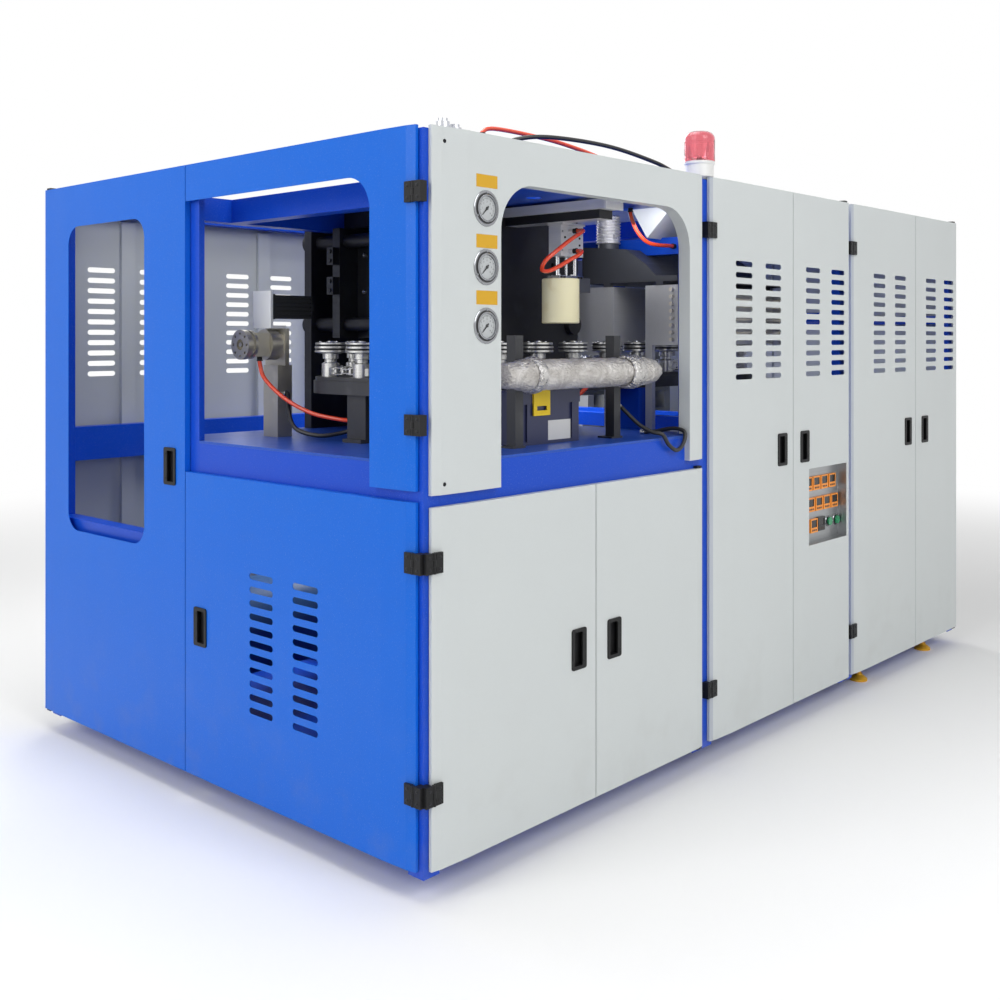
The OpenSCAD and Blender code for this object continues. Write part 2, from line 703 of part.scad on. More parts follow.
module gauge_pointer(i) place() color("#101010") {
  translate([gauge_x, 0, gauge_z + i * gauge_pitch]) rotate([90, 0, 0]) translate([0, 0, 4.2]) difference() {
    linear_extrude(1) {
      circle(r = 4.5);
      rotate([0, 0, 225]) polygon([[-8, -2], [0, -2.2], [pointer_len, -0.6], [pointer_len, 0.6], [0, 2.2], [-8, 2]]);
    }
    translate([0, 0, -1]) cylinder(r = 1.5 + pin_clear, h = 4);
  }
}

module gauge_pointer_1() gauge_pointer(-1);
module gauge_pointer_2() gauge_pointer(0);
module gauge_pointer_3() gauge_pointer(1);

// Control panel

plate_y = setback + 22 - 3;
unit_w = 58;
unit_h = 56;
unit_pitch = 68;
button_x = [panel_x[0] + 240, panel_x[0] + 307];
button_z = panel_z + 68;
button_travel = 4;

function unit_places() = concat(
  [for (i = [0 : 3]) [panel_x[0] + 59 + i * unit_pitch, panel_z + 237]],
  [for (i = [0 : 3]) [panel_x[0] + 80 + i * unit_pitch, panel_z + 151]],
  [[panel_x[0] + 105, panel_z + 64]]
);
meter_place = [panel_x[0] + 169, panel_z + 66];

// Folded pan behind the door's cut-out, with flanges on the frame's rails
module control_plate() place() color("#a9abac") {
  difference() {
    union() {
      box([panel_x[0] - 1.5, sheet_t + 0.6, panel_z - 1.5], [panel_x[1] + 1.5, plate_y + 3 - seat, panel_z + panel_h + 1.5]);
      box([panel_x[0] - 18, plate_y, panel_z - 40],
          [oven_frame_x[1] - tube - seat, plate_y + 3 - seat, panel_z + panel_h + 40]);
    }
    box([panel_x[0], 0, panel_z], [panel_x[1], plate_y, panel_z + panel_h]);
    for (p = unit_places()) translate([p[0], 0, p[1]]) box([-22.3, 0, -22.3], [22.3, 99, 22.3]);
    translate([meter_place[0], 0, meter_place[1]]) box([-22.3, 0, -22.3], [22.3, 99, 22.3]);
    for (x = button_x) along_y(x, 0, 99, button_z, 11.3);
  }
}

// One panel instrument with its bezel, window and keys
module instrument() {
  difference() {
    union() {
      upright(plate_y - 10, plate_y - seat) square([unit_w, unit_h], center = true);
      upright(plate_y - 2, plate_y + 40) square([44, 44], center = true);
    }
    upright(plate_y - 11, plate_y - 8) translate([0, 8]) square([46, 30], center = true);
  }
  for (k = [-1 : 1]) upright(plate_y - 11, plate_y - 9) translate([k * 14, -18]) square([9, 7], center = true);
}

module panel_instruments() place() {
  color("#f08020") for (p = unit_places()) translate([p[0], 0, p[1]]) instrument();
  color("#202024") translate([meter_place[0], 0, meter_place[1]]) instrument();
  // Button sleeves
  color("#202024") for (x = button_x) difference() {
    union() {
      along_y(x, plate_y - 3, plate_y - seat, button_z, button_d / 2 + 1.5);
      along_y(x, plate_y - 2, plate_y + 30, button_z, 11);
    }
    along_y(x, plate_y - 5, plate_y + 26, button_z, 8.3);
  }
}

module green_button(i) place() color("#1f8a5a") {
  along_y(button_x[i], plate_y - 14, plate_y - 3 - button_travel - seat, button_z, button_d / 2);
  along_y(button_x[i], plate_y - 8, plate_y + 20, button_z, 8);
}

module green_button_left() green_button(0);
module green_button_right() green_button(1);

// Beacon on the oven module's front post

beacon_x = oven_x + 30;
beacon_y = setback + 30;
beacon_h = 62;
beacon_lift = cover_h + 1.5 - frame_top - 3 - seat;
dome_h = 107;

module beacon_base() place() color("#e4e4e2") translate([beacon_x, beacon_y, frame_top + 3 + seat]) {
  rotate_extrude() polygon([
    [0, 0], [27, 0], [27, beacon_lift], [48, beacon_lift], [50, beacon_lift + 3], [50, beacon_h - 14], [dome_d / 2 - 1, beacon_h - 8],
    [dome_d / 2 - 1, beacon_h - seat], [0, beacon_h - seat]
  ]);
  translate([0, 0, beacon_h - 1]) cylinder(r = 5, h = 25);
  translate([0, 0, beacon_h - 1]) cylinder(r = 11, h = 9);
}

module beacon_reflector() place() color("#d8d8dc") translate([beacon_x, beacon_y, frame_top + 3 + beacon_h + 9]) {
  difference() {
    union() {
      cylinder(r = 30, h = 4);
      intersection() {
        translate([-16, 0, 0]) rotate_extrude() polygon([[20, 0], [38, 0], [44, 60], [41, 60], [35, 4], [20, 4]]);
        box([-dome_d, -40, 0], [-4, 40, 60]);
        cylinder(r = 42, h = 60);
      }
    }
    translate([0, 0, -1]) cylinder(r = 5 + pin_clear, h = 6);
  }
}

module beacon_dome() place() color("#d02030", 0.7) translate([beacon_x, beacon_y, frame_top + 3 + beacon_h]) {
  r = dome_d / 2;
  rotate_extrude() polygon(concat(
    [[r, 0], [r, dome_h - 28]],
    [for (a = [15 : 15 : 90]) [r - 28 + 28 * cos(a), dome_h - 28 + 28 * sin(a)]],
    [[0, dome_h], [0, dome_h - 3]],
    [for (a = [90 : -15 : 15]) [r - 28 + 25 * cos(a), dome_h - 28 + 25 * sin(a)]],
    [[r - 3, dome_h - 28], [r - 3, 0]]
  ));
}

// Blow clamp with tie bars along the depth

tie_x = [clamp_x[0] + tie_inset, clamp_x[1] - tie_inset];
tie_z = [tie_low_z, tie_high_z];
ram_x = (clamp_x[0] + clamp_x[1]) / 2;
ram_z = (mould_z[0] + mould_z[1]) / 2;
closed_y = loop_y1 - mould_gap - mould_t - platen_t;
open_y = closed_y - mould_stroke;
ram_box_y = open_y - 20;
guide_z = [ram_z + 10, ram_z + 118];

// An end plate with its ram housing, in front of the mould line
module clamp_end() {
  difference() {
    union() {
      box([clamp_x[0], clamp_front_y, bed_z + seat], [clamp_x[1], clamp_front_y + clamp_t, deck_z - plate_t - seat]);
      box([ram_x - ram_box, clamp_front_y + clamp_t - 1, ram_z - ram_box], [ram_x + ram_box, ram_box_y, ram_z + ram_box]);
      for (x = tie_x, z = tie_z) along_y(x, clamp_front_y - 24, clamp_front_y + 1, z, tie_d / 2 + 12);
    }
    along_y(ram_x, clamp_front_y + 8, ram_box_y + 1, ram_z, ram_r + pin_clear);
    for (x = [clamp_x[0] + 150, clamp_x[1] - 150], z = [1300, 1500, 1700])
      along_y(x, clamp_front_y - 1, clamp_front_y + 12, z, 9);
  }
}

module clamp_frame() place() color("#1b1c20") {
  clamp_end();
  translate([0, 2 * loop_y1, 0]) mirror([0, 1, 0]) clamp_end();
  for (x = tie_x, z = tie_z) along_y(x, clamp_front_y + 1, clamp_rear_y - 1, z, tie_d / 2);
  // Top yoke between the plates
  box([clamp_x[0] + 100, clamp_front_y + clamp_t - 1, deck_z - plate_t - 60],
      [clamp_x[1] - 100, cross_y - seat, deck_z - plate_t - seat]);
}

// Half of a bottle-shaped cavity, as a solid of revolution standing at its middle
module cavity() {
  rotate_extrude() polygon([
    [0, 0], [14, 0], [14, 22], [22, 46], [36, 74], [44, 104], [45, 180], [42, 200], [45, 222],
    [45, 290], [36, 302], [0, 298]
  ]);
}

module mould_half() {
  difference() {
    union() {
      box([clamp_x[0] + 4, open_y, mould_z[0]], [clamp_x[1] - 4, open_y + platen_t, deck_z - plate_t - 66]);
      box([mould_x[0], open_y + platen_t - 1, mould_z[0]], [mould_x[1], open_y + platen_t + mould_t, mould_z[1]]);
      along_y(ram_x, open_y - 112, open_y + 1, ram_z, ram_r);
      // Bolted guide blocks on the platen's ends
      for (k = [-1, 1], z = guide_z) {
        x = (clamp_x[0] + clamp_x[1]) / 2 + k * (clamp_x[1] - clamp_x[0]) / 2;
        box([x - 26, open_y + 3, z - 32], [x + 26, open_y + platen_t - 3, z + 32]);
        for (e = [-17, 17]) along_x(x - 31, x + 31, open_y + platen_t / 2, z + e, 8);
      }
    }
    for (x = tie_x, z = tie_z) along_y(x, open_y - 1, open_y + platen_t + 1, z, tie_d / 2 + pin_clear);
    for (i = [-1 : 1]) translate([ram_x + i * mandrel_pitch, open_y + platen_t + mould_t, mould_z[0]]) cavity();
    for (x = [ram_x - 240, ram_x + 240]) along_z(x, open_y + platen_t + 30, mould_z[1] - 60, mould_z[1] + 1, 7);
  }
}

module front_mould_half() place() color("#55585e") mould_half();
module rear_mould_half() place() color("#55585e") translate([0, 2 * loop_y1, 0]) mirror([0, 1, 0]) mould_half();

// Loader over the front row

beam_x = [915, 1010];
slide_z = deck_z - 79;

module loader_beam() place() {
  color("#b8babc") box([beam_x[0], 100, slide_z + 30], [beam_x[1], clamp_front_y - seat, deck_z - plate_t - 9]);
  color("#202226") box([beam_x[0] + 15, 130, slide_z], [beam_x[1] - 10, clamp_front_y - seat, slide_z + 31]);
  color("#e6e6e6") box([beam_x[0], 92, slide_z + 28], [beam_x[1], 101, deck_z - plate_t - 6]);
  color("#b8babc") {
    box([loader_x - 60, loader_y - 34, loader_z[1] + seat], [loader_x + 64, loader_y + 34, slide_z + 1]);
    for (k = [-1, 1]) along_z(loader_x + 30 + k * 20, loader_y - 24, slide_z - 1, slide_z + 6, 6);
  }
}

module loader_cylinder() place() color("#cfd1d3") {
  for (z = [loader_z[0] + 18, loader_z[1] - 20]) along_y(loader_x - 10, loader_y - 42, loader_y - 22, z, 8);
  difference() {
    box([loader_x - 61, loader_y - 27, loader_z[0]], [loader_x + 61, loader_y + 27, loader_z[1]]);
    for (i = [0 : 2])
      along_z(loader_x + rod_x[i], loader_y, loader_z[0] - 1, loader_z[1] - 4, rod_r[i] + pin_clear);
    for (x = [-52, 52], z = [loader_z[0] + 20, loader_z[1] - 22]) along_y(loader_x + x, loader_y - 28, loader_y - 18, z, 4);
    box([loader_x - 20, loader_y - 28, loader_z[0] - 1], [loader_x + 24, loader_y - 24, loader_z[1] + 1]);
  }
}

loader_down = 55;
loader_up = 30;

module loader_head() place() {
  color("#ddd6ac") translate([loader_x - 20, loader_y + 8, head_z[0]]) rotate_extrude()
    polygon([[0, 0], [head_d / 2 - 3, 0], [head_d / 2, 3], [head_d / 2, head_z[1] - head_z[0] - 3],
             [head_d / 2 - 3, head_z[1] - head_z[0]], [0, head_z[1] - head_z[0]]]);
  color("#c4c6c8") {
    box([loader_x - 66, loader_y - 24, head_plate_z - 1], [loader_x + 66, loader_y + 30, head_plate_z + 10]);
    box([loader_x + 46, loader_y - 22, head_plate_z - 46], [loader_x + 108, loader_y + 22, head_plate_z + 4]);
    for (i = [0 : 2])
      along_z(loader_x + rod_x[i], loader_y, head_plate_z, loader_z[1] - 8 - loader_up, rod_r[i]);
    for (k = [-1, 1]) along_z(loader_x - 20 + k * 34, loader_y - 12, head_plate_z + 9, head_plate_z + 15, 6);
  }
}

// Chain rail, and the chain of mandrels that runs on it

module loop2d(grow) {
  round_rect([loop_x0 - grow, loop_y0 - grow], [loop_x1 + grow, loop_y1 + grow], loop_r + grow);
}

module chain_rail() place() color("#3a3b3e") {
  translate([0, 0, rail_z - rail_h2]) linear_extrude(rail_h2 - 12) difference() {
    loop2d(rail_half);
    loop2d(-rail_half);
  }
  translate([0, 0, rail_z - 12.5]) linear_extrude(12.5) difference() {
    loop2d(rail_half - 6);
    loop2d(6 - rail_half);
  }
}

// Place and heading at length t along the chain loop, from the left row's rear end towards the front
loop_sides = [loop_w - 2 * loop_r, loop_x1 - loop_x0 - 2 * loop_r];
quarter = PI * loop_r / 2;
function on_arc(c, a) = [c[0] + loop_r * cos(a), c[1] + loop_r * sin(a), a + 90];
function at_loop(t) =
  let (u = t - loop_len * floor(t / loop_len), a = loop_sides[0], b = loop_sides[1], q = quarter)
  u < a ? [loop_x0, loop_y1 - loop_r - u, 270]
  : u < a + q ? on_arc([loop_x0 + loop_r, loop_y0 + loop_r], 180 + 90 * (u - a) / q)
  : u < a + q + b ? [loop_x0 + loop_r + u - a - q, loop_y0, 0]
  : u < a + 2 * q + b ? on_arc([loop_x1 - loop_r, loop_y0 + loop_r], 270 + 90 * (u - a - q - b) / q)
  : u < 2 * a + 2 * q + b ? [loop_x1, loop_y0 + loop_r + u - a - 2 * q - b, 90]
  : u < 2 * a + 3 * q + b ? on_arc([loop_x1 - loop_r, loop_y1 - loop_r], 90 * (u - 2 * a - 2 * q - b) / q)
  : u < 2 * a + 3 * q + 2 * b ? [loop_x1 - loop_r - (u - 2 * a - 3 * q - b), loop_y1, 180]
  : on_arc([loop_x0 + loop_r, loop_y1 - loop_r], 90 + 90 * (u - 2 * a - 3 * q - 2 * b) / q);

// Mandrel: boss, spindle and a disc of three plates, turned as one
module mandrel() {
  d = disc_d / 2;
  rotate_extrude() polygon([
    [0, 0], [29, 0], [29, 44], [20, 48], [20, 58], [26, 60], [26, 76], [d - 4, 80], [d, 82], [d, 88],
    [d - 5, 90], [d - 5, 93], [d, 95], [d, 101], [d - 5, 103], [d - 5, 106], [d - 2, 108], [d - 2, 113],
    [d - 6, 115], [14, 115], [12, 119], [0, 119]
  ]);
  translate([20, -11, 6]) cube([24, 22, 24]);
}

// One chain link: two side plates with cut corners, on a pin and its roller
module link(i) {
  a = -7;
  b = link_pitch + 7;
  z = (i % 2 == 0) ? [8, 28] : [11.2, 24.8];
  for (e = z) translate([0, 0, e]) linear_extrude(3) polygon([
    [a + 4, -7.5], [b - 4, -7.5], [b, -3.5], [b, 3.5], [b - 4, 7.5], [a + 4, 7.5], [a, 3.5], [a, -3.5]
  ]);
  along_z(0, 0, 7, 32, 3);
  along_z(0, 0, 14.4, 24.6, 6.5);
}

module mandrel_chain() place() color("#b9bbbe") translate([0, 0, rail_z + seat]) {
  for (k = [0 : mandrels - 1]) {
    p = at_loop(loop_start + k * mandrel_pitch);
    translate([p[0], p[1], 0]) rotate([0, 0, p[2]]) mandrel();
    for (i = [1 : links_per_mandrel - 1]) {
      q = at_loop(loop_start + k * mandrel_pitch + (i - 0.5) * link_pitch);
      translate([q[0], q[1], 0]) rotate([0, 0, q[2]]) link(i);
    }
  }
}

// Posts that stand on the bed and carry the rail and the lagged pipe

pipe_y = 80;
pipe_z = 1317;
pipe_x = [395, 1189];
pipe_post_x = [530, 1028];
post_y = pipe_y + pipe_d / 2 + seat;
pipe_post_top = pipe_z + 120;
rail_posts = [[320, 600, 380, 690], [560, 870, 640, 940], [1060, 870, 1140, 940], [900, 322, 980, 392]];

module bed_posts() place() color("#1e1f22") {
  for (x = pipe_post_x) {
    box([x - 18, post_y, bed_z + seat], [x + 18, post_y + 36, pipe_post_top]);
    box([x - 30, post_y, bed_z + seat], [x + 30, post_y + 60, bed_z + 6]);
    difference() {
      union() {
        along_x(x - 12, x + 12, pipe_y, pipe_z, pipe_d / 2 + 5);
        box([x - 12, pipe_y, pipe_z - 24], [x + 12, post_y + 1, pipe_z + 24]);
      }
      along_x(x - 13, x + 13, pipe_y, pipe_z, pipe_d / 2 + seat);
    }
  }
  for (p = rail_posts) {
    box([p[0], p[1], bed_z + seat], [p[2], p[3], rail_z - rail_h2 - seat]);
    box([p[0] - 20, p[1], bed_z + seat], [p[2] + 20, p[3], bed_z + 12]);
  }
}

// Lagged air pipe, with bulged ends and foil bands
module lagged_pipe() place() color("#c3c4c6") translate([pipe_x[0], pipe_y, pipe_z]) rotate([0, 90, 0]) {
  r = pipe_d / 2;
  l = pipe_x[1] - pipe_x[0];
  rotate_extrude() polygon([
    [0, 0], [r - 16, 0], [r - 10, 8], [r - 8, 60], [r - 3, 72], [r, 90], [r, l * 0.7], [r - 4, l * 0.72],
    [r - 4, l * 0.76], [r, l * 0.79], [r, l * 0.9], [r - 10, l * 0.96], [r - 22, l - 12], [r - 26, l], [0, l]
  ]);
}

box_x = [575, 870];
box_y = [170, 284];
box_h = 170;

module transformer_box() place() {
  color("#1b2140") {
    box([box_x[0], box_y[0], bed_z + seat], [box_x[1], box_y[1], bed_z + box_h - 40]);
    box([box_x[0] - 3, box_y[0] - 3, bed_z + box_h - 42], [box_x[1] + 3, box_y[1] + 3, bed_z + box_h]);
    for (x = [box_x[0] + 30, box_x[1] - 42]) box([x, box_y[0] - 6, bed_z + 12], [x + 12, box_y[0] + 1, bed_z + box_h - 41]);
  }
  color("#f0d010") difference() {
    box([box_x[0] + 60, box_y[0] - 8, bed_z + box_h - 78], [box_x[0] + 140, box_y[0] - 3, bed_z + box_h + 4]);
    box([box_x[0] + 76, box_y[0] - 9, bed_z + box_h - 62], [box_x[0] + 124, box_y[0] - 2, bed_z + box_h - 48]);
  }
}

// Index drive at the loop's left end

gear_c = [235, 1040, 1407];

module index_gearbox() place() color("#a8a498") {
  translate(gear_c) {
    difference() {
      union() {
        along_x(-85, -66, 0, 0, 50);
        along_x(-67, -52, 0, 0, 40);
        along_x(-53, -42, 0, 0, 48);
        box([-43, -36, -40], [12, 36, 40]);
        along_x(11, 60, 0, 0, 52);
      }
      for (a = [0 : 45 : 315]) rotate([a, 0, 0]) along_x(-86, -74, 38, 0, 4.5);
      along_x(-86, -70, 0, 0, 18);
    }
    along_x(-84, -69, 0, 0, 8);
  }
  // Foot plate and its pedestal on the bed
  box([gear_c[0] + 59, gear_c[1] - 56, 1336], [gear_c[0] + 76, gear_c[1] + 56, 1462]);
  box([gear_c[0] + 40, gear_c[1] - 40, bed_z + seat], [gear_c[0] + 100, gear_c[1] + 40, 1337]);
}

module servo_motor() place() {
  y = gear_c[1] + 10;
  z = 1536;
  color("#e8e8e6") {
    box([246, y - 50, 1463], [256, y + 50, 1590]);
    box([246, y - 50, 1462 + seat], [310, y + 50, 1472]);
  }
  color("#26282b") difference() {
    union() {
      box([255, y - 43, z - 43], [270, y + 43, z + 43]);
      box([269, y - 40, z - 40], [430, y + 40, z + 40]);
      along_x(429, 445, y, z, 30);
    }
    for (k = [-2 : 2], s = [-1, 1])
      box([275, y + s * 38 - 3, z + k * 14 - 2.5], [424, y + s * 38 + 3, z + k * 14 + 2.5]);
    for (k = [-2 : 2]) box([275, y + k * 14 - 2.5, z + 36], [424, y + k * 14 + 2.5, z + 41]);
  }
}

// Oven along the front row

tunnel_x = [oven_x + 20, loop_x1 - 100];
tunnel_z = [disc_top - 11, disc_top + 208];
lamp_rows = 8;
lamp_pitch = 26;
lamp_y = loop_y0 - 190;

module oven_tunnel() place() color("#b4b6b8") {
  // Rear reflector, front lamp box and end walls
  box([tunnel_x[0], loop_y0 + 77, tunnel_z[0]], [tunnel_x[1], loop_y0 + 134, tunnel_z[1]]);
  box([tunnel_x[0], loop_y0 - 158, tunnel_z[0]], [tunnel_x[1], loop_y0 - 70, tunnel_z[1]]);
  for (x = [tunnel_x[0], tunnel_x[1] - 20]) {
    box([x, loop_y0 + 133, tunnel_z[0] - 40], [x + 20, loop_y0 + 246, tunnel_z[1]]);
    difference() {
      box([x, lamp_y - 22, tunnel_z[0]], [x + 20, loop_y0 - 157, tunnel_z[1]]);
      for (i = [0 : lamp_rows - 1]) along_x(x - 1, x + 21, lamp_y, lamp_z(i), 7.3);
    }
    // Legs that stand on the oven frame's cross rails
    for (y = [loop_y0 - 100, loop_y0 + 90]) box([x, y, sill_top + seat], [x + 20, y + 30, tunnel_z[0] + 1]);
  }
}

function lamp_z(i) = tunnel_z[0] + 20 + i * lamp_pitch;

module heater_lamps() place() color("#f0ead8") {
  for (i = [0 : lamp_rows - 1]) {
    along_x(tunnel_x[0] - 14, tunnel_x[0] + 30, lamp_y, lamp_z(i), 7);
    along_x(tunnel_x[1] - 30, tunnel_x[1] + 14, lamp_y, lamp_z(i), 7);
    along_x(tunnel_x[0] + 29, tunnel_x[1] - 29, lamp_y, lamp_z(i), 5);
  }
}

// Hood section in depth and height over the tunnel, grown inwards by t
function hood_points(t) = [
  [loop_y0 + 223 - t, tunnel_z[1] + 14 - (t > 0 ? 1 : 0)], [loop_y0 + 223 - t, tunnel_z[1] + 156 - t],
  [loop_y0 + 18 + t / 2, tunnel_z[1] + 139 - t], [loop_y0 - 72 + t / 2, tunnel_z[1] + 81 - t],
  [loop_y0 - 120 + t, tunnel_z[1] + 36 - t], [loop_y0 - 211 + t, tunnel_z[1] + 34 - t],
  [loop_y0 - 211 + t, tunnel_z[1] + 14 - (t > 0 ? 1 : 0)]
];

duct_c = [tunnel_x[0] + 42, loop_y0 + 132];
duct_r = 40;

module exhaust_hood() place() color("#3c3e42") {
  difference() {
    union() {
      translate([tunnel_x[0] - 4, 0, 0]) rotate([90, 0, 90]) linear_extrude(tunnel_x[1] - tunnel_x[0])
        polygon(hood_points(0));
      along_z(duct_c[0], duct_c[1], tunnel_z[1] + 100, duct_z - 40, duct_r);
    }
    translate([tunnel_x[0] - 2, 0, 0]) rotate([90, 0, 90]) linear_extrude(tunnel_x[1] - tunnel_x[0] - 4)
      polygon(hood_points(2));
    along_z(duct_c[0], duct_c[1], tunnel_z[1] + 80, duct_z, duct_r - 2);
    // Notch round the oven frame's entry rail
    box([entry_rail_x - seat, 0, entry_rail_z[0] - seat], [entry_rail_x + tube + seat, machine_w, duct_z]);
  }
  // Feet that stand on the tunnel
  for (x = [tunnel_x[0] - 3, tunnel_x[1] - 24], y = [loop_y0 - 150, loop_y0 + 90])
    box([x, y, tunnel_z[1] + seat], [x + 19, y + 30, tunnel_z[1] + 16]);
}

// Top of the duct's sheet collar, where the foil duct starts, and the foil's top under the roof rails
duct_z = tunnel_z[1] + 210;

// Valves on the deck
valve_x = [300, 350, 400, 470];

module valve_bank() place() color("#d0d2d6") {
  box([270, 170, deck_z + seat], [520, 290, deck_z + 26]);
  for (i = [0 : 3]) {
    h = i == 3 ? 130 : 165 - 12 * i;
    along_z(valve_x[i], 230, deck_z + 25, deck_z + h, 21);
    along_z(valve_x[i], 230, deck_z + h - 1, deck_z + h + 10, 15);
    along_z(valve_x[i], 230, deck_z + 50, deck_z + 60, 24);
  }
  // Air filters on the bed
  for (p = [[452, 760], [520, 760]]) {
    along_z(p[0], p[1], bed_z + seat, bed_z + 12, 26);
    along_z(p[0], p[1], bed_z + 11, bed_z + 118, 30);
    along_z(p[0], p[1], bed_z + 45, bed_z + 52, 31.5);
  }
  box([452, 750, bed_z + 100], [520, 770, bed_z + 116]);
}

// Air receiver under the bed
tank_x = [foot_lines(blow_frame_x)[0] - 150, foot_lines(blow_frame_x)[1] + 130];
tank_y = 1500;
tank_z = 330;

module air_receiver() place() color("#31588f") {
  r = tank_d / 2;
  translate([tank_x[0], tank_y, tank_z]) rotate([0, 90, 0]) rotate_extrude() polygon([
    [0, 0], [r * 0.5, 10], [r * 0.8, 30], [r, 80], [r, tank_x[1] - tank_x[0] - 80],
    [r * 0.8, tank_x[1] - tank_x[0] - 30], [r * 0.5, tank_x[1] - tank_x[0] - 10], [0, tank_x[1] - tank_x[0]]
  ]);
  for (fx = foot_lines(blow_frame_x)) difference() {
    box([fx - 25, tank_y - 150, tube + seat], [fx + 25, tank_y + 150, tank_z - r * 0.5]);
    along_x(fx - 26, fx + 26, tank_y, tank_z, r - 1);
  }
}

// Switchgear on a back plate in the cabinet module
gear_x = [cabinet_x + 130, machine_l - 160];
gear_z = [280, 1560];

module switchgear() place() {
  w = gear_x[1] - gear_x[0];
  color("#c8c8c0") box([gear_x[0], gear_y - 4, gear_z[0]], [gear_x[1], gear_y - seat, gear_z[1]]);
  color("#404448") for (r = [0 : 2], i = [0 : 5])
    box([gear_x[0] + 40 + i * (w - 60) / 6, gear_y - 74, gear_z[0] + 760 + r * 170],
        [gear_x[0] + 90 + i * (w - 60) / 6, gear_y - 3.5, gear_z[0] + 850 + r * 170]);
  color("#585c60") for (i = [0 : 1])
    box([gear_x[0] + 60 + i * 0.5 * w, gear_y - 164, gear_z[0] + 220], [gear_x[0] + 0.4 * w + i * 0.5 * w, gear_y - 3.5, gear_z[0] + 620]);
  color("#8a8c8a") for (z = [60, 680, 880, 1050])
    box([gear_x[0] + 20, gear_y - 54, gear_z[0] + z], [gear_x[1] - 20, gear_y - 3.5, gear_z[0] + z + 40]);
}

// Tubes and cables that the machine holds all the way, by hand-chosen points

red_routes = [
  [[222, 1030, 1366.6], [223, 1029, 1340], [232, 1012, 1290], [262, 940, 1225], [300, 850, 1180], [336, 750, 1162],
   [342, 715, 1160], [342, 690.4, 1160]],
  [[1000, 295.6, 1798], [1000, 272, 1798], [984, 242, 1795], [935, 220, 1780], [870, 210, 1752], [810, 210, 1718],
   [768, 224, 1684], [772, 246, 1656], [812, 256, 1650], [870, 256, 1668], [925, 250, 1694], [968, 244, 1714],
   [994, 256, 1726], [1000, 272, 1729], [1000, 295.6, 1729]],
  [[470, 230, 2045.4], [470, 230, 2060], [520, 236, 2080], [680, 240, 2084], [860, 225, 2072], [1060, 205, 2038],
   [1200, 195, 1985], [1260, 190, 1940], [1262, 190, 1906]],
  [[1268, 250, 1896.5], [1268, 250, 1878], [1276, 245, 1845], [1300, 232, 1800], [1350, 220, 1772], [1460, 212, 1770],
   [1491.6, 212, 1770]],
  [[1028, 167.1, 1340], [1028, 186, 1340], [1000, 205, 1295], [955, 220, 1250], [900, 225, 1226], [873.4, 225, 1226]]
];
red_d = 14;

cable_routes = [
  [[492, 230, 2008], [515, 230, 2010], [580, 190, 2048], [700, 150, 2066], [950, 112, 2064], [1180, 84, 2034],
   [1290, 68, 2004], [1350, 58, 1999.6]],
  [[300, 999.2, 1240], [300, 978, 1240], [265, 925, 1180], [245, 860, 1130], [275, 780, 1110], [335, 735, 1118],
   [354, 712, 1128], [356, 691, 1130]],
  [[1046.8, 148, 1200], [1064, 148, 1200], [1084, 85, 1140], [1100, 40, 1114], [1118, 10, 1106], [1146, 3, 1070],
   [1192, 2, 1048], [1234, 4, 1066], [1252, 10, 1106], [1252, 60, 1116], [1236, 130, 1102], [1215, 170, 1099.8]]
];
cable_d = 14;

function unit(v) = v / norm(v);
function spline(p, i, t) =
  let (n = len(p) - 1, a = p[max(i - 1, 0)], b = p[i], c = p[i + 1], d = p[min(i + 2, n)])
  0.5 * (2 * b + (c - a) * t + (2 * a - 5 * b + 4 * c - d) * t * t + (3 * b - 3 * c + d - a) * t * t * t);
function swept(p, d) = concat(
  [for (i = [0 : len(p) - 2]) let (n = max(1, round(norm(p[i + 1] - p[i]) / (2.5 * d)))) for (k = [0 : n - 1]) spline(p, i, k / n)],
  [p[len(p) - 1]]
);

// Side directions along tangents t that turn with the path and never twist about it
function sides_along(t, i, u) =
  i == len(t) ? [] : let (w = unit(u - (u * t[i]) * t[i])) concat([w], sides_along(t, i + 1, w));

// A round tube of diameter d along points p, with eight sides
module tube_along(p, d) {
  sides = 8;
  n = len(p);
  t = [for (i = [0 : n - 1]) unit(p[min(i + 1, n - 1)] - p[max(i - 1, 0)])];
  across = sides_along(t, 0, cross(t[0], [0.31, 0.22, 0.93]));
  rings = [for (i = [0 : n - 1]) let (v = cross(t[i], across[i])) for (k = [0 : sides - 1])
    p[i] + d / 2 * (across[i] * cos(360 * k / sides) + v * sin(360 * k / sides))];
  walls = [for (i = [0 : n - 2], k = [0 : sides - 1])
    [i * sides + k, i * sides + (k + 1) % sides, (i + 1) * sides + (k + 1) % sides, (i + 1) * sides + k]];
  polyhedron(rings, concat(
    walls, [[for (k = [sides - 1 : -1 : 0]) k], [for (k = [0 : sides - 1]) (n - 1) * sides + k]]
  ), convexity = 6);
}

module red_tubes() place() color("#e0402a") for (r = red_routes) tube_along(swept(r, red_d), red_d);
module black_cables() place() color("#141416") for (r = cable_routes) tube_along(swept(r, cable_d), cable_d);

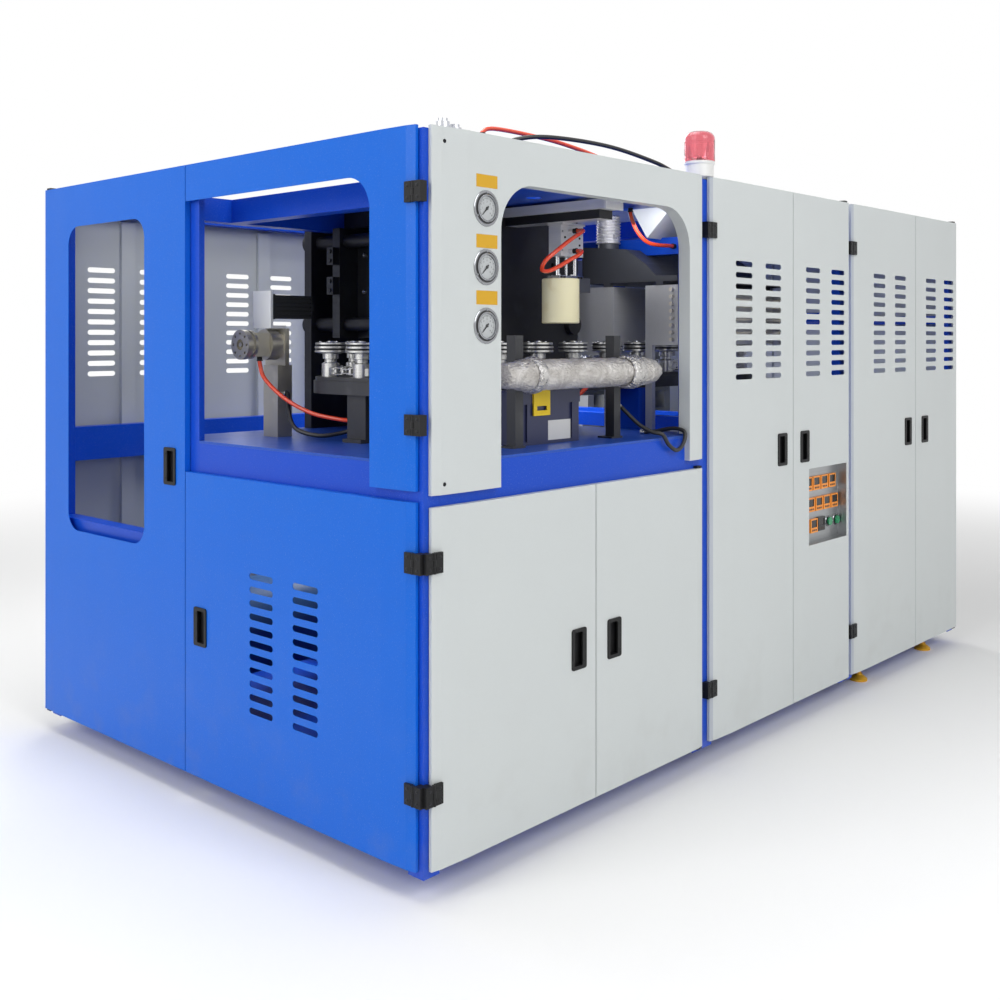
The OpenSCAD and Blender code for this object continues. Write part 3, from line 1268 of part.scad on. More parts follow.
blow_frame();
oven_frame();
cabinet_frame();
levelling_feet();
bed_plate();
front_arch_cover();
back_panels();
end_panel();
roof_panels();
side_upper_cover();
side_lower_door();
side_tall_door();
front_left_door();
front_right_door();
oven_left_door();
oven_right_door();
cabinet_left_door();
cabinet_right_door();
side_upper_hinge_leaves();
side_lower_hardware();
side_tall_pull();
front_left_hardware();
front_right_pull();
oven_left_hardware();
oven_right_pull();
cabinet_left_hardware();
cabinet_right_pull();
fixed_hinge_parts();
gauge_cases();
gauge_pointer_1();
gauge_pointer_2();
gauge_pointer_3();
control_plate();
panel_instruments();
green_button_left();
green_button_right();
beacon_base();
beacon_reflector();
beacon_dome();
clamp_frame();
front_mould_half();
rear_mould_half();
loader_beam();
loader_cylinder();
loader_head();
chain_rail();
mandrel_chain();
lagged_pipe();
bed_posts();
transformer_box();
servo_motor();
index_gearbox();
oven_tunnel();
heater_lamps();
exhaust_hood();
valve_bank();
air_receiver();
switchgear();
red_tubes();
black_cables();
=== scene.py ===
"""Dresses the stretch blow moulding machine: studio, finishes and the small pieces that ride on its frame."""

import logging
import math
from dataclasses import dataclass
from enum import Enum
from typing import Sequence, Union

import bmesh
import bpy
from mathutils import Matrix, Vector


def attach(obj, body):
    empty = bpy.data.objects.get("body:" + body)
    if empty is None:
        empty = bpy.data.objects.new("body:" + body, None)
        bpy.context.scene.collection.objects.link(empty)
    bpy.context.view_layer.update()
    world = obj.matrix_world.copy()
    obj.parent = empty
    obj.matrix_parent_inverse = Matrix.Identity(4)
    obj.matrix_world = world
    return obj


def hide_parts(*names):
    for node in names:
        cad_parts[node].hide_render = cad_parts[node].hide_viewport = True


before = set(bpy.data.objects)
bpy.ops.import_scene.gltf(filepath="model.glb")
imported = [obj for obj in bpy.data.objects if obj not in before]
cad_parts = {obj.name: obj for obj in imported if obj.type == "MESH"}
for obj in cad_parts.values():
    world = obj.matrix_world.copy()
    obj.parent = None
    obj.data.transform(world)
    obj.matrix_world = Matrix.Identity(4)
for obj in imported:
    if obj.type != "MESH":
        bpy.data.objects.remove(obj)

log = logging.getLogger("machine")
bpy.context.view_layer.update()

Pair = tuple[float, float]
Point = tuple[float, float, float]
Colour = tuple[float, float, float]
MACHINE = "machine"
# The covers' near lower corner in the machine's own frame, in millimetres.
CORNER: Point = (1837.0, 1051.5, -80.0)
# Depths of the relief on polished or printed surfaces and on crumpled foil, in metres.
POLISHED = 0.00001
FOIL_DEPTH = 0.003
# Direction in which loose forms point when they stand upright.
UP: Point = (0.0, 0.0, 1.0)


def at(x: float, y: float, z: float) -> Vector:
    """Place in metres of a point measured in millimetres from the covers' near lower corner."""
    return Vector((x - CORNER[0], y - CORNER[1], z - CORNER[2])) / 1000.0


def link(name: str, data: object) -> bpy.types.Object:
    """Puts a new object with the given data in the scene."""
    made = bpy.data.objects.new(name, data)
    bpy.context.scene.collection.objects.link(made)
    return made


def settled(item: bpy.types.Object) -> bpy.types.Mesh:
    """Plain mesh of an object as its modifiers or its text make it."""
    graph = bpy.context.evaluated_depsgraph_get()
    return bpy.data.meshes.new_from_object(item.evaluated_get(graph), depsgraph=graph)


def tone(red: int, green: int, blue: int) -> Colour:
    """Linear colour of a display colour with 0 to 255 in each channel."""
    def linear(value: float) -> float:
        """One channel, from display to linear light."""
        return value / 12.92 if value <= 0.04045 else ((value + 0.055) / 1.055) ** 2.4
    return linear(red / 255), linear(green / 255), linear(blue / 255)


class Signal:
    """A number or colour that a socket carries; arithmetic on it adds Math nodes to its tree."""

    def __init__(self, tree: "Tree", socket: bpy.types.NodeSocket) -> None:
        """Keeps the socket and the tree that it belongs to."""
        self.tree, self.socket = tree, socket

    def __add__(self, other: "Value") -> "Signal":
        """Sum."""
        return self.tree.maths("ADD", self, other)

    def __sub__(self, other: "Value") -> "Signal":
        """Difference."""
        return self.tree.maths("SUBTRACT", self, other)

    def __rsub__(self, other: "Value") -> "Signal":
        """Difference with the number first."""
        return self.tree.maths("SUBTRACT", other, self)

    def __mul__(self, other: "Value") -> "Signal":
        """Product."""
        return self.tree.maths("MULTIPLY", self, other)

    def __truediv__(self, other: "Value") -> "Signal":
        """Quotient."""
        return self.tree.maths("DIVIDE", self, other)

    __radd__ = __add__
    __rmul__ = __mul__

    def ramp(self, low: float, high: float) -> "Signal":
        """0 below low, 1 above high and a smooth rise between them."""
        node = self.tree.node("ShaderNodeMapRange", {"interpolation_type": "SMOOTHSTEP"},
                              {"Value": self, "From Min": low, "From Max": high})
        return Signal(self.tree, node.outputs["Result"])


Value = Union[float, Signal]


class Tree:
    """A node tree, with one method that adds a node of any type."""

    def __init__(self, tree: bpy.types.NodeTree) -> None:
        """Keeps the tree that nodes are added to."""
        self.tree = tree

    def node(self, kind: str, settings: dict | None = None, inputs: dict | None = None) -> bpy.types.Node:
        """Adds one node.

        Args:
            kind: The node's type.
            settings: Its own properties, which are set first.
            inputs: A value, signal or socket for each input, by name or number.

        Returns:
            The new node.
        """
        node = self.tree.nodes.new(kind)
        for name, value in (settings or {}).items():
            setattr(node, name, value)
        for name, value in (inputs or {}).items():
            self.feed(node.inputs[name], value)
        return node

    def feed(self, socket: bpy.types.NodeSocket, value: object) -> None:
        """Links a signal or socket to an input, or sets its value."""
        if isinstance(value, Signal):
            value = value.socket
        if isinstance(value, bpy.types.NodeSocket):
            self.tree.links.new(value, socket)
        else:
            socket.default_value = value

    def maths(self, operation: str, *values: Value) -> Signal:
        """Result of a Math node on numbers and signals."""
        node = self.node("ShaderNodeMath", {"operation": operation}, dict(enumerate(values)))
        return Signal(self, node.outputs[0])

    def seen(self) -> Signal:
        """1 on rays that reach the camera straight, off metal or through glass, and 0 on other rays."""
        rays = self.node("ShaderNodeLightPath").outputs
        near = self.maths("MAXIMUM", rays["Is Camera Ray"], rays["Is Glossy Ray"])
        return self.maths("MAXIMUM", near, rays["Is Transmission Ray"])


class Paint(Tree):
    """The node tree of one material, with the patterns that the finishes share."""

    def __init__(self, name: str) -> None:
        """Starts an empty material that reads Object coordinates."""
        self.material = bpy.data.materials.new(name)
        self.material.use_nodes = True
        super().__init__(self.material.node_tree)
        self.tree.nodes.clear()
        self.place = self.node("ShaderNodeTexCoord").outputs["Object"]
        parts = self.node("ShaderNodeSeparateXYZ", inputs={"Vector": self.place})
        self.axes = [Signal(self, parts.outputs[i]) for i in range(3)]

    def stretched(self, scale: Point) -> bpy.types.NodeSocket:
        """Object coordinates scaled by axis, for a pattern that runs along one of them."""
        node = self.node("ShaderNodeMapping", inputs={"Vector": self.place, "Scale": scale})
        return node.outputs["Vector"]

    def noise(self, scale: float, detail: float = 2.0, along: Point = (1, 1, 1), warp: float = 0.0) -> Signal:
        """Fractal noise from 0 to 1 with about scale cells a metre."""
        node = self.node("ShaderNodeTexNoise", inputs={
            "Vector": self.stretched(along), "Scale": scale, "Detail": detail, "Distortion": warp})
        return Signal(self, node.outputs["Fac"])

    def cells(self, scale: float, along: Point = (1, 1, 1)) -> Signal:
        """Distance pattern of scattered cells, for creases and grains."""
        node = self.node("ShaderNodeTexVoronoi", inputs={"Vector": self.stretched(along), "Scale": scale})
        return Signal(self, node.outputs["Distance"])

    def blend(self, share: Value, *colours: object) -> Signal:
        """Mix of two colours, each a tuple or a signal."""
        first, second = ((*colour, 1.0) if isinstance(colour, tuple) else colour for colour in colours)
        node = self.node("ShaderNodeMix", {"data_type": "RGBA"}, {0: share, 6: first, 7: second})
        return Signal(self, node.outputs[2])

    def within(self, low: Point, high: Point) -> Signal:
        """1 inside a box given in millimetres from the near corner, and 0 outside it."""
        inside: Value = 1.0
        for axis, a, b in zip(self.axes, at(*low), at(*high)):
            inside = self.maths("GREATER_THAN", axis, a) * self.maths("LESS_THAN", axis, b) * inside
        return inside

    def surface(self, varying: dict, fixed: dict, relief: Signal, depth: float) -> bpy.types.Material:
        """Closes the material.

        Args:
            varying: Signals or values of the shader's inputs that change over the surface.
            fixed: Values of the inputs that stay the same.
            relief: Height of the surface's texture, about 0 to 1.
            depth: Depth of that relief in metres.

        Returns:
            The finished material.
        """
        bump = self.node("ShaderNodeBump", inputs={"Strength": 1.0, "Distance": depth, "Height": relief})
        shader = self.node("ShaderNodeBsdfPrincipled", inputs={
            **fixed, **varying, "Normal": bump.outputs["Normal"]})
        self.node("ShaderNodeOutputMaterial", inputs={"Surface": shader.outputs["BSDF"]})
        return self.material


Grain = tuple[Signal, Signal, Signal]


@dataclass(frozen=True)
class Patch:
    """A box, in millimetres from the near corner, inside which a finish has other values."""

    low: Point
    high: Point
    colour: Colour
    rough: float = 0.4
    metal: float = 0.0


@dataclass(frozen=True)
class Finish:
    """A finish of one colour; each kind adds its own texture in the method grain."""

    name: str
    colour: Colour
    rough: float = 0.4
    metal: float = 0.0
    coat: float = 0.0
    patches: tuple[Patch, ...] = ()
    extras: tuple[tuple[str, object], ...] = ()
    depth: float = 0.00005

    def shade(self, share: float, lift: float = 0.0) -> Colour:
        """The finish's colour made darker, or lighter up to white."""
        return tuple(min(1.0, share * c + lift) for c in self.colour)

    def grain(self, paint: Paint) -> Grain:
        """Colour, roughness and relief of a plain, slightly uneven surface."""
        cloud = paint.noise(6.0, 3.0)
        colour = paint.blend(cloud * 0.10, self.colour, (0.0, 0.0, 0.0))
        return colour, cloud * 0.08 + (self.rough - 0.04), paint.noise(900.0)

    def build(self) -> bpy.types.Material:
        """Makes the material, with the patches over the finish's own grain."""
        paint = Paint(self.name)
        colour, rough, relief = self.grain(paint)
        metal: Value = self.metal
        for patch in self.patches:
            mask = paint.within(patch.low, patch.high)
            colour = paint.blend(mask, colour, patch.colour)
            rough = rough * (1.0 - mask) + mask * patch.rough
            if isinstance(metal, Signal) or patch.metal != self.metal:
                metal = (1.0 - mask) * metal + mask * patch.metal
        fixed = {"Coat Weight": self.coat, **dict(self.extras)}
        varying = {"Base Color": colour, "Roughness": rough, "Metallic": metal}
        return paint.surface(varying, fixed, relief, self.depth)


@dataclass(frozen=True)
class SheetPaint(Finish):
    """Baked paint on sheet steel: orange peel, long waves of the sheet, wiped streaks and dust low down."""

    peel: float = 0.6
    wave: float = 3.0
    dust: float = 0.5
    dust_colour: Colour = (0.34, 0.32, 0.29)
    fleck_colour: Colour = (0.9, 0.9, 0.9)
    extras: tuple[tuple[str, object], ...] = (("Specular IOR Level", 0.25),)

    def grain(self, paint: Paint) -> Grain:
        """Colour, roughness and relief of the painted sheet."""
        cloud = paint.noise(1.3, 3.0)
        speck = paint.noise(420.0, 1.0)
        streak = paint.noise(14.0, 4.0, (1.0, 1.0, 0.12))
        low = 1.0 - paint.axes[2].ramp(0.05, 0.55)
        dirt = paint.noise(8.0, 5.0).ramp(0.46, 0.74) * (low * 0.55 + 0.06) * self.dust
        shaded = paint.blend((cloud - 0.35) * 0.22, self.colour, self.shade(0.72))
        flecked = paint.blend(speck.ramp(0.62, 0.8) * 0.10, shaded, self.fleck_colour)
        dusty = paint.blend(dirt * 0.30, flecked, self.dust_colour)
        rough = (streak - 0.5) * 0.10 + dirt * 0.18 + self.rough
        relief = paint.noise(260.0, 1.0) * self.peel + paint.noise(5.0, 1.0) * self.wave
        return dusty, rough, relief


@dataclass(frozen=True)
class BrushedSteel(Finish):
    """Steel brushed along one axis, with fine scratches and finger smears."""

    along: Point = (3.0, 400.0, 400.0)

    def grain(self, paint: Paint) -> Grain:
        """Colour, roughness and relief of the brushed face."""
        line = paint.noise(1.0, 6.0, self.along)
        smear = paint.noise(22.0, 3.0, warp=0.6)
        colour = paint.blend(line * 0.35 + smear * 0.15, self.colour, self.shade(0.62))
        return colour, line * 0.18 + smear * 0.10 + (self.rough - 0.12), line


@dataclass(frozen=True)
class TurnedSteel(Finish):
    """Turned or ground steel: fine rings up the piece, darker grooves and a film of oil."""

    pitch: float = 900.0

    def grain(self, paint: Paint) -> Grain:
        """Colour, roughness and relief of the turned face."""
        ring = paint.noise(1.0, 2.0, (6.0, 6.0, self.pitch))
        oil = paint.noise(26.0, 4.0, warp=1.0).ramp(0.42, 0.72)
        colour = paint.blend(ring * 0.30 + oil * 0.18, self.colour, self.shade(0.45))
        return colour, ring * 0.14 + oil * 0.12 + (self.rough - 0.10), ring


@dataclass(frozen=True)
class CastMetal(Finish):
    """Cast or blackened metal with a sandy skin and rubbed spots."""

    def grain(self, paint: Paint) -> Grain:
        """Colour, roughness and relief of the cast skin."""
        sand = paint.noise(700.0, 3.0)
        rub = paint.noise(11.0, 5.0).ramp(0.52, 0.78)
        colour = paint.blend(rub * 0.30, self.colour, self.shade(1.7, 0.03))
        return colour, self.rough - rub * 0.12 + sand * 0.05, sand


@dataclass(frozen=True)
class Plastic(Finish):
    """Moulded plastic with a spark-eroded grain and a slight bloom."""

    def grain(self, paint: Paint) -> Grain:
        """Colour, roughness and relief of the moulded skin."""
        grain = paint.cells(1100.0)
        bloom = paint.noise(18.0, 3.0)
        colour = paint.blend(bloom * 0.16, self.colour, self.shade(1.25, 0.02))
        return colour, bloom * 0.12 + (self.rough - 0.06), grain


@dataclass(frozen=True)
class ClearPlastic(Finish):
    """Clear tinted plastic with a faint drift in its colour and a few wiped marks."""

    def grain(self, paint: Paint) -> Grain:
        """Colour, roughness and relief of the clear wall."""
        cloud = paint.noise(9.0, 2.0)
        wiped = paint.noise(30.0, 4.0, (1.0, 1.0, 0.3)).ramp(0.55, 0.8)
        colour = paint.blend(cloud * 0.20, self.colour, self.shade(0.8))
        return colour, wiped * 0.05 + self.rough, cloud


@dataclass(frozen=True)
class WrappedFoil(Finish):
    """Thin film and foil wound round a pipe, all creases and bright facets."""

    creases: float = 55.0
    glint: Colour = (0.90, 0.88, 0.86)

    def grain(self, paint: Paint) -> Grain:
        """Colour, roughness and relief of the crumpled wrap."""
        fold = paint.cells(self.creases, (0.6, 1.0, 1.0))
        fine = paint.cells(self.creases * 3.1)
        cloud = paint.noise(16.0, 4.0, warp=1.2)
        colour = paint.blend(cloud.ramp(0.35, 0.75) * 0.5, self.colour, self.glint)
        return colour, cloud * 0.25 + (self.rough - 0.10), fold + fine * 0.35 + cloud * 0.5


@dataclass(frozen=True)
class CreamNylon(Finish):
    """Turned cream nylon with faint rings and yellowed blotches."""

    def grain(self, paint: Paint) -> Grain:
        """Colour, roughness and relief of the nylon block."""
        ring = paint.noise(1.0, 2.0, (5.0, 5.0, 700.0))
        blotch = paint.noise(15.0, 5.0, (1.0, 1.0, 0.7), 0.7).ramp(0.48, 0.74)
        colour = paint.blend(blotch * 0.35, self.colour, tone(214, 190, 118))
        return colour, ring * 0.12 + self.rough, ring


class Tint(Enum):
    """The machine's main colours, as the screen shows them."""

    BLUE = tone(6, 102, 212)
    DEEP_BLUE = tone(14, 74, 196)
    BED_BLUE = tone(38, 82, 180)
    WHITE = tone(208, 213, 213)
    BACK = tone(188, 192, 193)
    ORANGE = tone(246, 150, 44)
    GREEN = tone(22, 138, 88)
    TUBE_RED = tone(236, 74, 38)
    CREAM = tone(246, 239, 198)
    NAVY = tone(38, 44, 78)
    STEEL = tone(196, 198, 200)
    IRON = tone(176, 172, 160)
    TANK = tone(64, 106, 158)


def window_patches(left: float, low: float) -> tuple[Patch, ...]:
    """Dark windows and brown keys of the panel's instruments.

    Args:
        left: The control panel's left edge in millimetres.
        low: Its lower edge.

    Returns:
        The patches, with the black meter's body and the buttons' sleeves first.
    """
    pitch, window, keys = 68, (23.2, 7.2, 23.2), (19, 22, 14)
    rows = [(left + start + i * pitch, low + height) for start, height in ((59, 237), (80, 151)) for i in range(4)]
    x, z = meter = (left + 169, low + 66)
    patches = [Patch((x - 30, 0, z - 29), (x + 30, 90, z + 29), tone(30, 32, 34), 0.3),
               Patch((left + 215, 0, low + 40), (left + 330, 90, low + 96), tone(34, 36, 38), 0.3)]
    for x, z in rows + [(left + 105, low + 64), meter]:
        half, under, over = window
        patches.append(Patch((x - half, 31.5, z - under), (x + half, 34, z + over), tone(24, 20, 20), 0.12))
        half, under, over = keys
        patches.append(Patch((x - half, 29, z - under), (x + half, 30.9, z - over), tone(60, 44, 34), 0.35))
    return tuple(patches)


def palette() -> dict[str, Finish]:
    """The finish of each material slot in the record."""
    bright = tone(226, 228, 226)
    return {
        "blue_frame": SheetPaint("Blue_Frame_Paint", Tint.DEEP_BLUE.value, 0.34),
        "blue_sheet": SheetPaint("Blue_Sheet_Paint", Tint.BLUE.value, 0.36, peel=0.8),
        "bed_blue": SheetPaint("Bed_Plate_Paint", Tint.BED_BLUE.value, 0.30, dust=1.0),
        # The white sheet's patches are painted shade: a darker bluish strip down the hinge edge of the oven and
        # cabinet left doors, where the bevel turns away from the light.
        "white_sheet": SheetPaint("White_Sheet_Paint", Tint.WHITE.value, 0.42, patches=tuple(
            Patch((edge, -2, 0), (edge + 26, 12, 2001), tone(184, 190, 200), 0.42) for edge in (1402.0, 2512.0)
        )),
        "back_sheet": SheetPaint("Back_Sheet_Paint", Tint.BACK.value, 0.40),
        "foot_yellow": CastMetal("Foot_Zinc_Yellow", tone(226, 170, 40), 0.42, 0.4),
        "black_fittings": Plastic(
            "Black_Fittings", tone(16, 16, 18), 0.50, extras=(("Specular IOR Level", 0.3),)),
        "gauge_chrome": Finish("Gauge_Chrome", tone(158, 160, 164), 0.16, 1.0, depth=POLISHED),
        "gauge_black": Finish("Gauge_Needle_Black", tone(18, 18, 18), 0.32),
        "panel_steel": BrushedSteel("Panel_Brushed_Steel", tone(176, 178, 180), 0.34, 1.0),
        "instrument_orange": Plastic(
            "Instrument_Orange", Tint.ORANGE.value, 0.34, patches=window_patches(2129.0, 600.0), depth=0.00002
        ),
        "button_green": Plastic("Button_Green", Tint.GREEN.value, 0.24, coat=0.3, depth=POLISHED),
        "beacon_white": Plastic("Beacon_White", tone(226, 226, 224), 0.38),
        "reflector_mirror": Finish("Reflector_Mirror", tone(226, 228, 230), 0.07, 1.0, depth=POLISHED),
        "beacon_red": ClearPlastic("Beacon_Red", tone(244, 172, 180), 0.04,
                                   extras=(("Transmission Weight", 0.95), ("IOR", 1.30))),
        "clamp_black": CastMetal("Clamp_Blacked_Steel", tone(40, 41, 45), 0.44, 0.35),
        "mould_steel": TurnedSteel("Mould_Blacked_Steel", tone(66, 68, 72), 0.38, 0.8, pitch=300.0),
        "bar_aluminium": BrushedSteel(
            "Loader_Aluminium", tone(226, 227, 228), 0.40, 0.35, along=(300.0, 4.0, 300.0), patches=(
                Patch((900, 60, 1826), (1030, 560, 1855.8), tone(34, 35, 38), 0.42, 0.3),
                Patch((900, 60, 1850), (1030, 100.5, 1900), tone(228, 228, 226), 0.38),
            ),
        ),
        "nylon_cream": CreamNylon("Loader_Nylon", Tint.CREAM.value, 0.44, patches=(
            Patch((900, 290, 1635.4), (1130, 400, 1860), Tint.STEEL.value, 0.26, 1.0),
            Patch((1055.5, 290, 1588), (1130, 400, 1640), tone(112, 114, 118), 0.36, 0.8),
        ), depth=0.00008),
        "rail_black": CastMetal("Rail_Blacked_Steel", tone(62, 63, 66), 0.42, 0.5),
        "chain_steel": TurnedSteel("Chain_Turned_Steel", tone(206, 206, 204), 0.32, 0.9),
        "lagging_foil": WrappedFoil("Lagging_Foil", tone(182, 178, 174), 0.31, 0.55, creases=150.0, depth=FOIL_DEPTH),
        "navy_paint": Plastic("Transformer_Navy", Tint.NAVY.value, 0.36, patches=(
            Patch((634, 150, 1180), (716, 167.3, 1270), tone(244, 208, 20), 0.40),
        )),
        "motor_black": BrushedSteel("Servo_Black", tone(44, 46, 50), 0.46, 0.6, patches=tuple(
            Patch((240, 990, 1460), high, tone(224, 226, 224), 0.4)
            for high in ((255.2, 1110, 1600), (312, 1110, 1473))
        )),
        "gearbox_metal": CastMetal("Gearbox_Metal", Tint.IRON.value, 0.36, 0.8),
        "lamp_ceramic": Plastic("Lamp_Ceramic", tone(232, 226, 210), 0.30),
        "hood_grey": BrushedSteel("Hood_Sheet", tone(82, 84, 90), 0.48, 0.3),
        "valve_silver": TurnedSteel("Valve_Aluminium", tone(212, 214, 218), 0.28, 0.9, patches=tuple(
            Patch((400, 700, low), (560, 820, high), bright, 0.35) for low, high in ((1090, 1135), (1146, 1189))
        )),
        "tank_blue": SheetPaint("Tank_Paint", Tint.TANK.value, 0.38),
        "switchgear_grey": Plastic("Switchgear_Grey", tone(140, 142, 140), 0.44),
        "tube_red": Plastic("Tube_Red", Tint.TUBE_RED.value, 0.22, coat=0.25, depth=POLISHED),
        "cable_black": Plastic("Cable_Black", tone(22, 22, 24), 0.42),
        "label_yellow": Plastic("Label_Yellow", tone(212, 162, 14), 0.30, depth=POLISHED),
        "label_pale": Plastic("Label_Pale", tone(214, 214, 210), 0.34, depth=POLISHED),
        "dial_white": Plastic("Dial_White", tone(182, 186, 188), 0.26, coat=0.8, depth=POLISHED),
        "ink_black": Plastic("Dial_Ink", tone(22, 22, 24), 0.40, depth=POLISHED),
        "screw_zinc": TurnedSteel("Screw_Zinc", tone(196, 198, 202), 0.26, 1.0),
        "screw_black": CastMetal("Screw_Blacked", tone(38, 39, 42), 0.38, 0.6),
        "wrap_foil": WrappedFoil("Wrap_Foil", tone(176, 174, 172), 0.26, 0.8, creases=120.0, depth=FOIL_DEPTH),
        "duct_foil": WrappedFoil("Duct_Foil", tone(226, 226, 228), 0.26, 0.55, creases=80.0, depth=FOIL_DEPTH),
        "oven_reflector": BrushedSteel("Reflector_Sheet", tone(222, 223, 224), 0.36, 0.35),
    }


class Palette:
    """The materials, made once each when a piece first asks for them."""

    def __init__(self) -> None:
        """Starts with the finishes and no material."""
        self.finishes = palette()
        self.made: dict[str, bpy.types.Material] = {}

    def __getitem__(self, name: str) -> bpy.types.Material:
        """The material of a finish."""
        if name not in self.made:
            self.made[name] = self.finishes[name].build()
        return self.made[name]


class Form:
    """A mesh in the making, in millimetres from the near corner."""

    def __init__(self) -> None:
        """Starts empty."""
        self.mesh = bmesh.new()

    def block(self, low: Point, high: Point, bevel: float = 0.0) -> "Form":
        """Adds a box between two corners, with its edges bevelled."""
        size = Vector(high) - Vector(low)
        middle = (Vector(high) + Vector(low)) / 2
        matrix = Matrix.Translation(middle) @ Matrix.Diagonal((*size, 1.0))
        made = bmesh.ops.create_cube(self.mesh, size=1.0, matrix=matrix)
        if bevel:
            edges = {e for v in made["verts"] for e in v.link_edges}
            bmesh.ops.bevel(self.mesh, geom=list(edges), offset=bevel, segments=1, profile=0.5, affect="EDGES")
        return self

    def lathe(self, profile: Sequence[Pair], foot: Point = CORNER, axis: Point = UP, sides: int = 32,
              closed: bool = False) -> "Form":
        """Adds a solid of revolution.

        Args:
            profile: Radius and height of each corner, from one end to the other.
            foot: Where height 0 lies on the axis; a form that is set out by a tree stands on the frame's origin.
            axis: The axis' direction.
            sides: Facets round the axis.
            closed: Whether the profile is a loop, as of a ring or shell, instead of a solid's side.

        Returns:
            The form itself.
        """
        turn = Vector(UP).rotation_difference(Vector(axis)).to_matrix()
        rings = []
        for radius, height in profile:
            count = sides if radius > 1e-6 else 1
            ring = []
            for k in range(count):
                angle = 2 * math.pi * k / sides
                point = turn @ Vector((radius * math.cos(angle), radius * math.sin(angle), height))
                ring.append(self.mesh.verts.new(point + Vector(foot)))
            rings.append(ring)
        pairs = list(zip(rings, rings[1:])) + ([(rings[-1], rings[0])] if closed else [])
        for lower, upper in pairs:
            for k in range(sides):
                corners = [lower[k % len(lower)], lower[(k + 1) % len(lower)],
                           upper[(k + 1) % len(upper)], upper[k % len(upper)]]
                unique = list(dict.fromkeys(corners))
                if len(unique) > 2:
                    self.mesh.faces.new(unique)
        for ring, flip in ((rings[0], True), (rings[-1], False)):
            if len(ring) > 2 and not closed:
                self.mesh.faces.new(ring[::-1] if flip else ring)
        return self

    def prism(self, outline: Sequence[Pair], low: float, high: float) -> "Form":
        """Adds an outline in Y and Z, extruded along X from low to high."""
        near, far = ([self.mesh.verts.new((depth, *pair)) for pair in outline] for depth in (low, high))
        count = len(outline)
        self.mesh.faces.new(near)
        self.mesh.faces.new(far[::-1])
        for k in range(count):
            self.mesh.faces.new([near[k], far[k], far[(k + 1) % count], near[(k + 1) % count]])
        return self

    def done(self, name: str, crease: float = 32.0) -> bpy.types.Object:
        """Closes the form.

        Args:
            name: The piece's name.
            crease: Angle in degrees past which an edge stays sharp.

        Returns:
            The object, at the origin, with its place in its mesh.
        """
        bmesh.ops.remove_doubles(self.mesh, verts=self.mesh.verts, dist=0.001)
        bmesh.ops.recalc_face_normals(self.mesh, faces=self.mesh.faces)
        for vertex in self.mesh.verts:
            vertex.co = at(*vertex.co)
        for face in self.mesh.faces:
            face.smooth = True
        for edge in self.mesh.edges:
            if edge.is_manifold and edge.calc_face_angle(0.0) > math.radians(crease):
                edge.smooth = False
        data = bpy.data.meshes.new(name)
        self.mesh.to_mesh(data)
        self.mesh.free()
        return link(name, data)


class Recipe(Tree):
    """A Geometry Nodes tree with named inputs, grown once on a seed mesh into a plain piece."""

    KINDS = {float: "NodeSocketFloat", int: "NodeSocketInt", "object": "NodeSocketObject",
             "material": "NodeSocketMaterial"}

    def __init__(self, name: str, **inputs: object) -> None:
        """Starts a tree.

        Args:
            name: The tree's name.
            inputs: Each input's first value, or the word object or material; an underscore stands for a space.
        """
        super().__init__(bpy.data.node_groups.new(name, "GeometryNodeTree"))
        face = self.tree.interface
        face.new_socket("Geometry", in_out="INPUT", socket_type="NodeSocketGeometry")
        face.new_socket("Geometry", in_out="OUTPUT", socket_type="NodeSocketGeometry")
        self.keys: dict[str, str] = {}
        for label, value in {**inputs, "Material": "material"}.items():
            kind = value if isinstance(value, str) else type(value)
            socket = face.new_socket(label.replace("_", " "), in_out="INPUT", socket_type=self.KINDS[kind])
            if not isinstance(value, str):
                socket.default_value = value
            self.keys[label] = socket.identifier
        self.entry = self.node("NodeGroupInput")

    def input(self, label: str) -> Signal:
        """Signal of a named input."""
        return Signal(self, self.entry.outputs[label.replace("_", " ")])

    def close(self, geometry: bpy.types.NodeSocket) -> "Recipe":
        """Ends the tree in real, smooth and painted geometry."""
        real = self.node("GeometryNodeRealizeInstances", inputs={"Geometry": geometry})
        shaded = self.node("GeometryNodeSetShadeSmooth", inputs={
            "Geometry": real.outputs["Geometry"], "Shade Smooth": True})
        painted = self.node("GeometryNodeSetMaterial", inputs={
            "Geometry": shaded.outputs["Geometry"], "Material": self.input("Material")})
        self.node("NodeGroupOutput", inputs={"Geometry": painted.outputs["Geometry"]})
        return self

    def grow(self, name: str, seed: bpy.types.Object, **values: object) -> bpy.types.Object:
        """Grows the tree on a seed.

        Args:
            name: The piece's name.
            seed: The mesh that the tree starts from; it is used up.
            values: The named inputs' values.

        Returns:
            The piece as a plain mesh.
        """
        modifier = seed.modifiers.new("Growth", "NODES")
        modifier.node_group = self.tree
        for label, value in values.items():
            modifier[self.keys[label]] = value
        mesh = settled(seed)
        mesh.name = name
        seed.modifiers.remove(modifier)
        bpy.data.objects.remove(seed)
        return link(name, mesh)


def point_seed(points: Sequence[Point], facing: Sequence[Point]) -> bpy.types.Object:
    """A mesh of loose points for a tree to set things on.

    Args:
        points: The places, in millimetres from the near corner.
        facing: The directions in which they point: one for each, or one for all.

    Returns:
        The seed object.
    """
    mesh = bpy.data.meshes.new("Seed")
    mesh.from_pydata([at(*p) for p in points], [], [])
    ways = mesh.attributes.new("facing", "FLOAT_VECTOR", "POINT").data
    for i in range(len(points)):
        ways[i].vector = facing[i % len(facing)]
    return link("Seed", mesh)


def path_seed(paths: Sequence[Sequence[Point]]) -> bpy.types.Object:
    """A mesh of open lines through points in millimetres from the near corner."""
    verts, edges = [], []
    for path in paths:
        start = len(verts)
        verts += [at(*p) for p in path]
        edges += [(start + i, start + i + 1) for i in range(len(path) - 1)]
    mesh = bpy.data.meshes.new("Seed")
    mesh.from_pydata(verts, edges, [])
    return link("Seed", mesh)


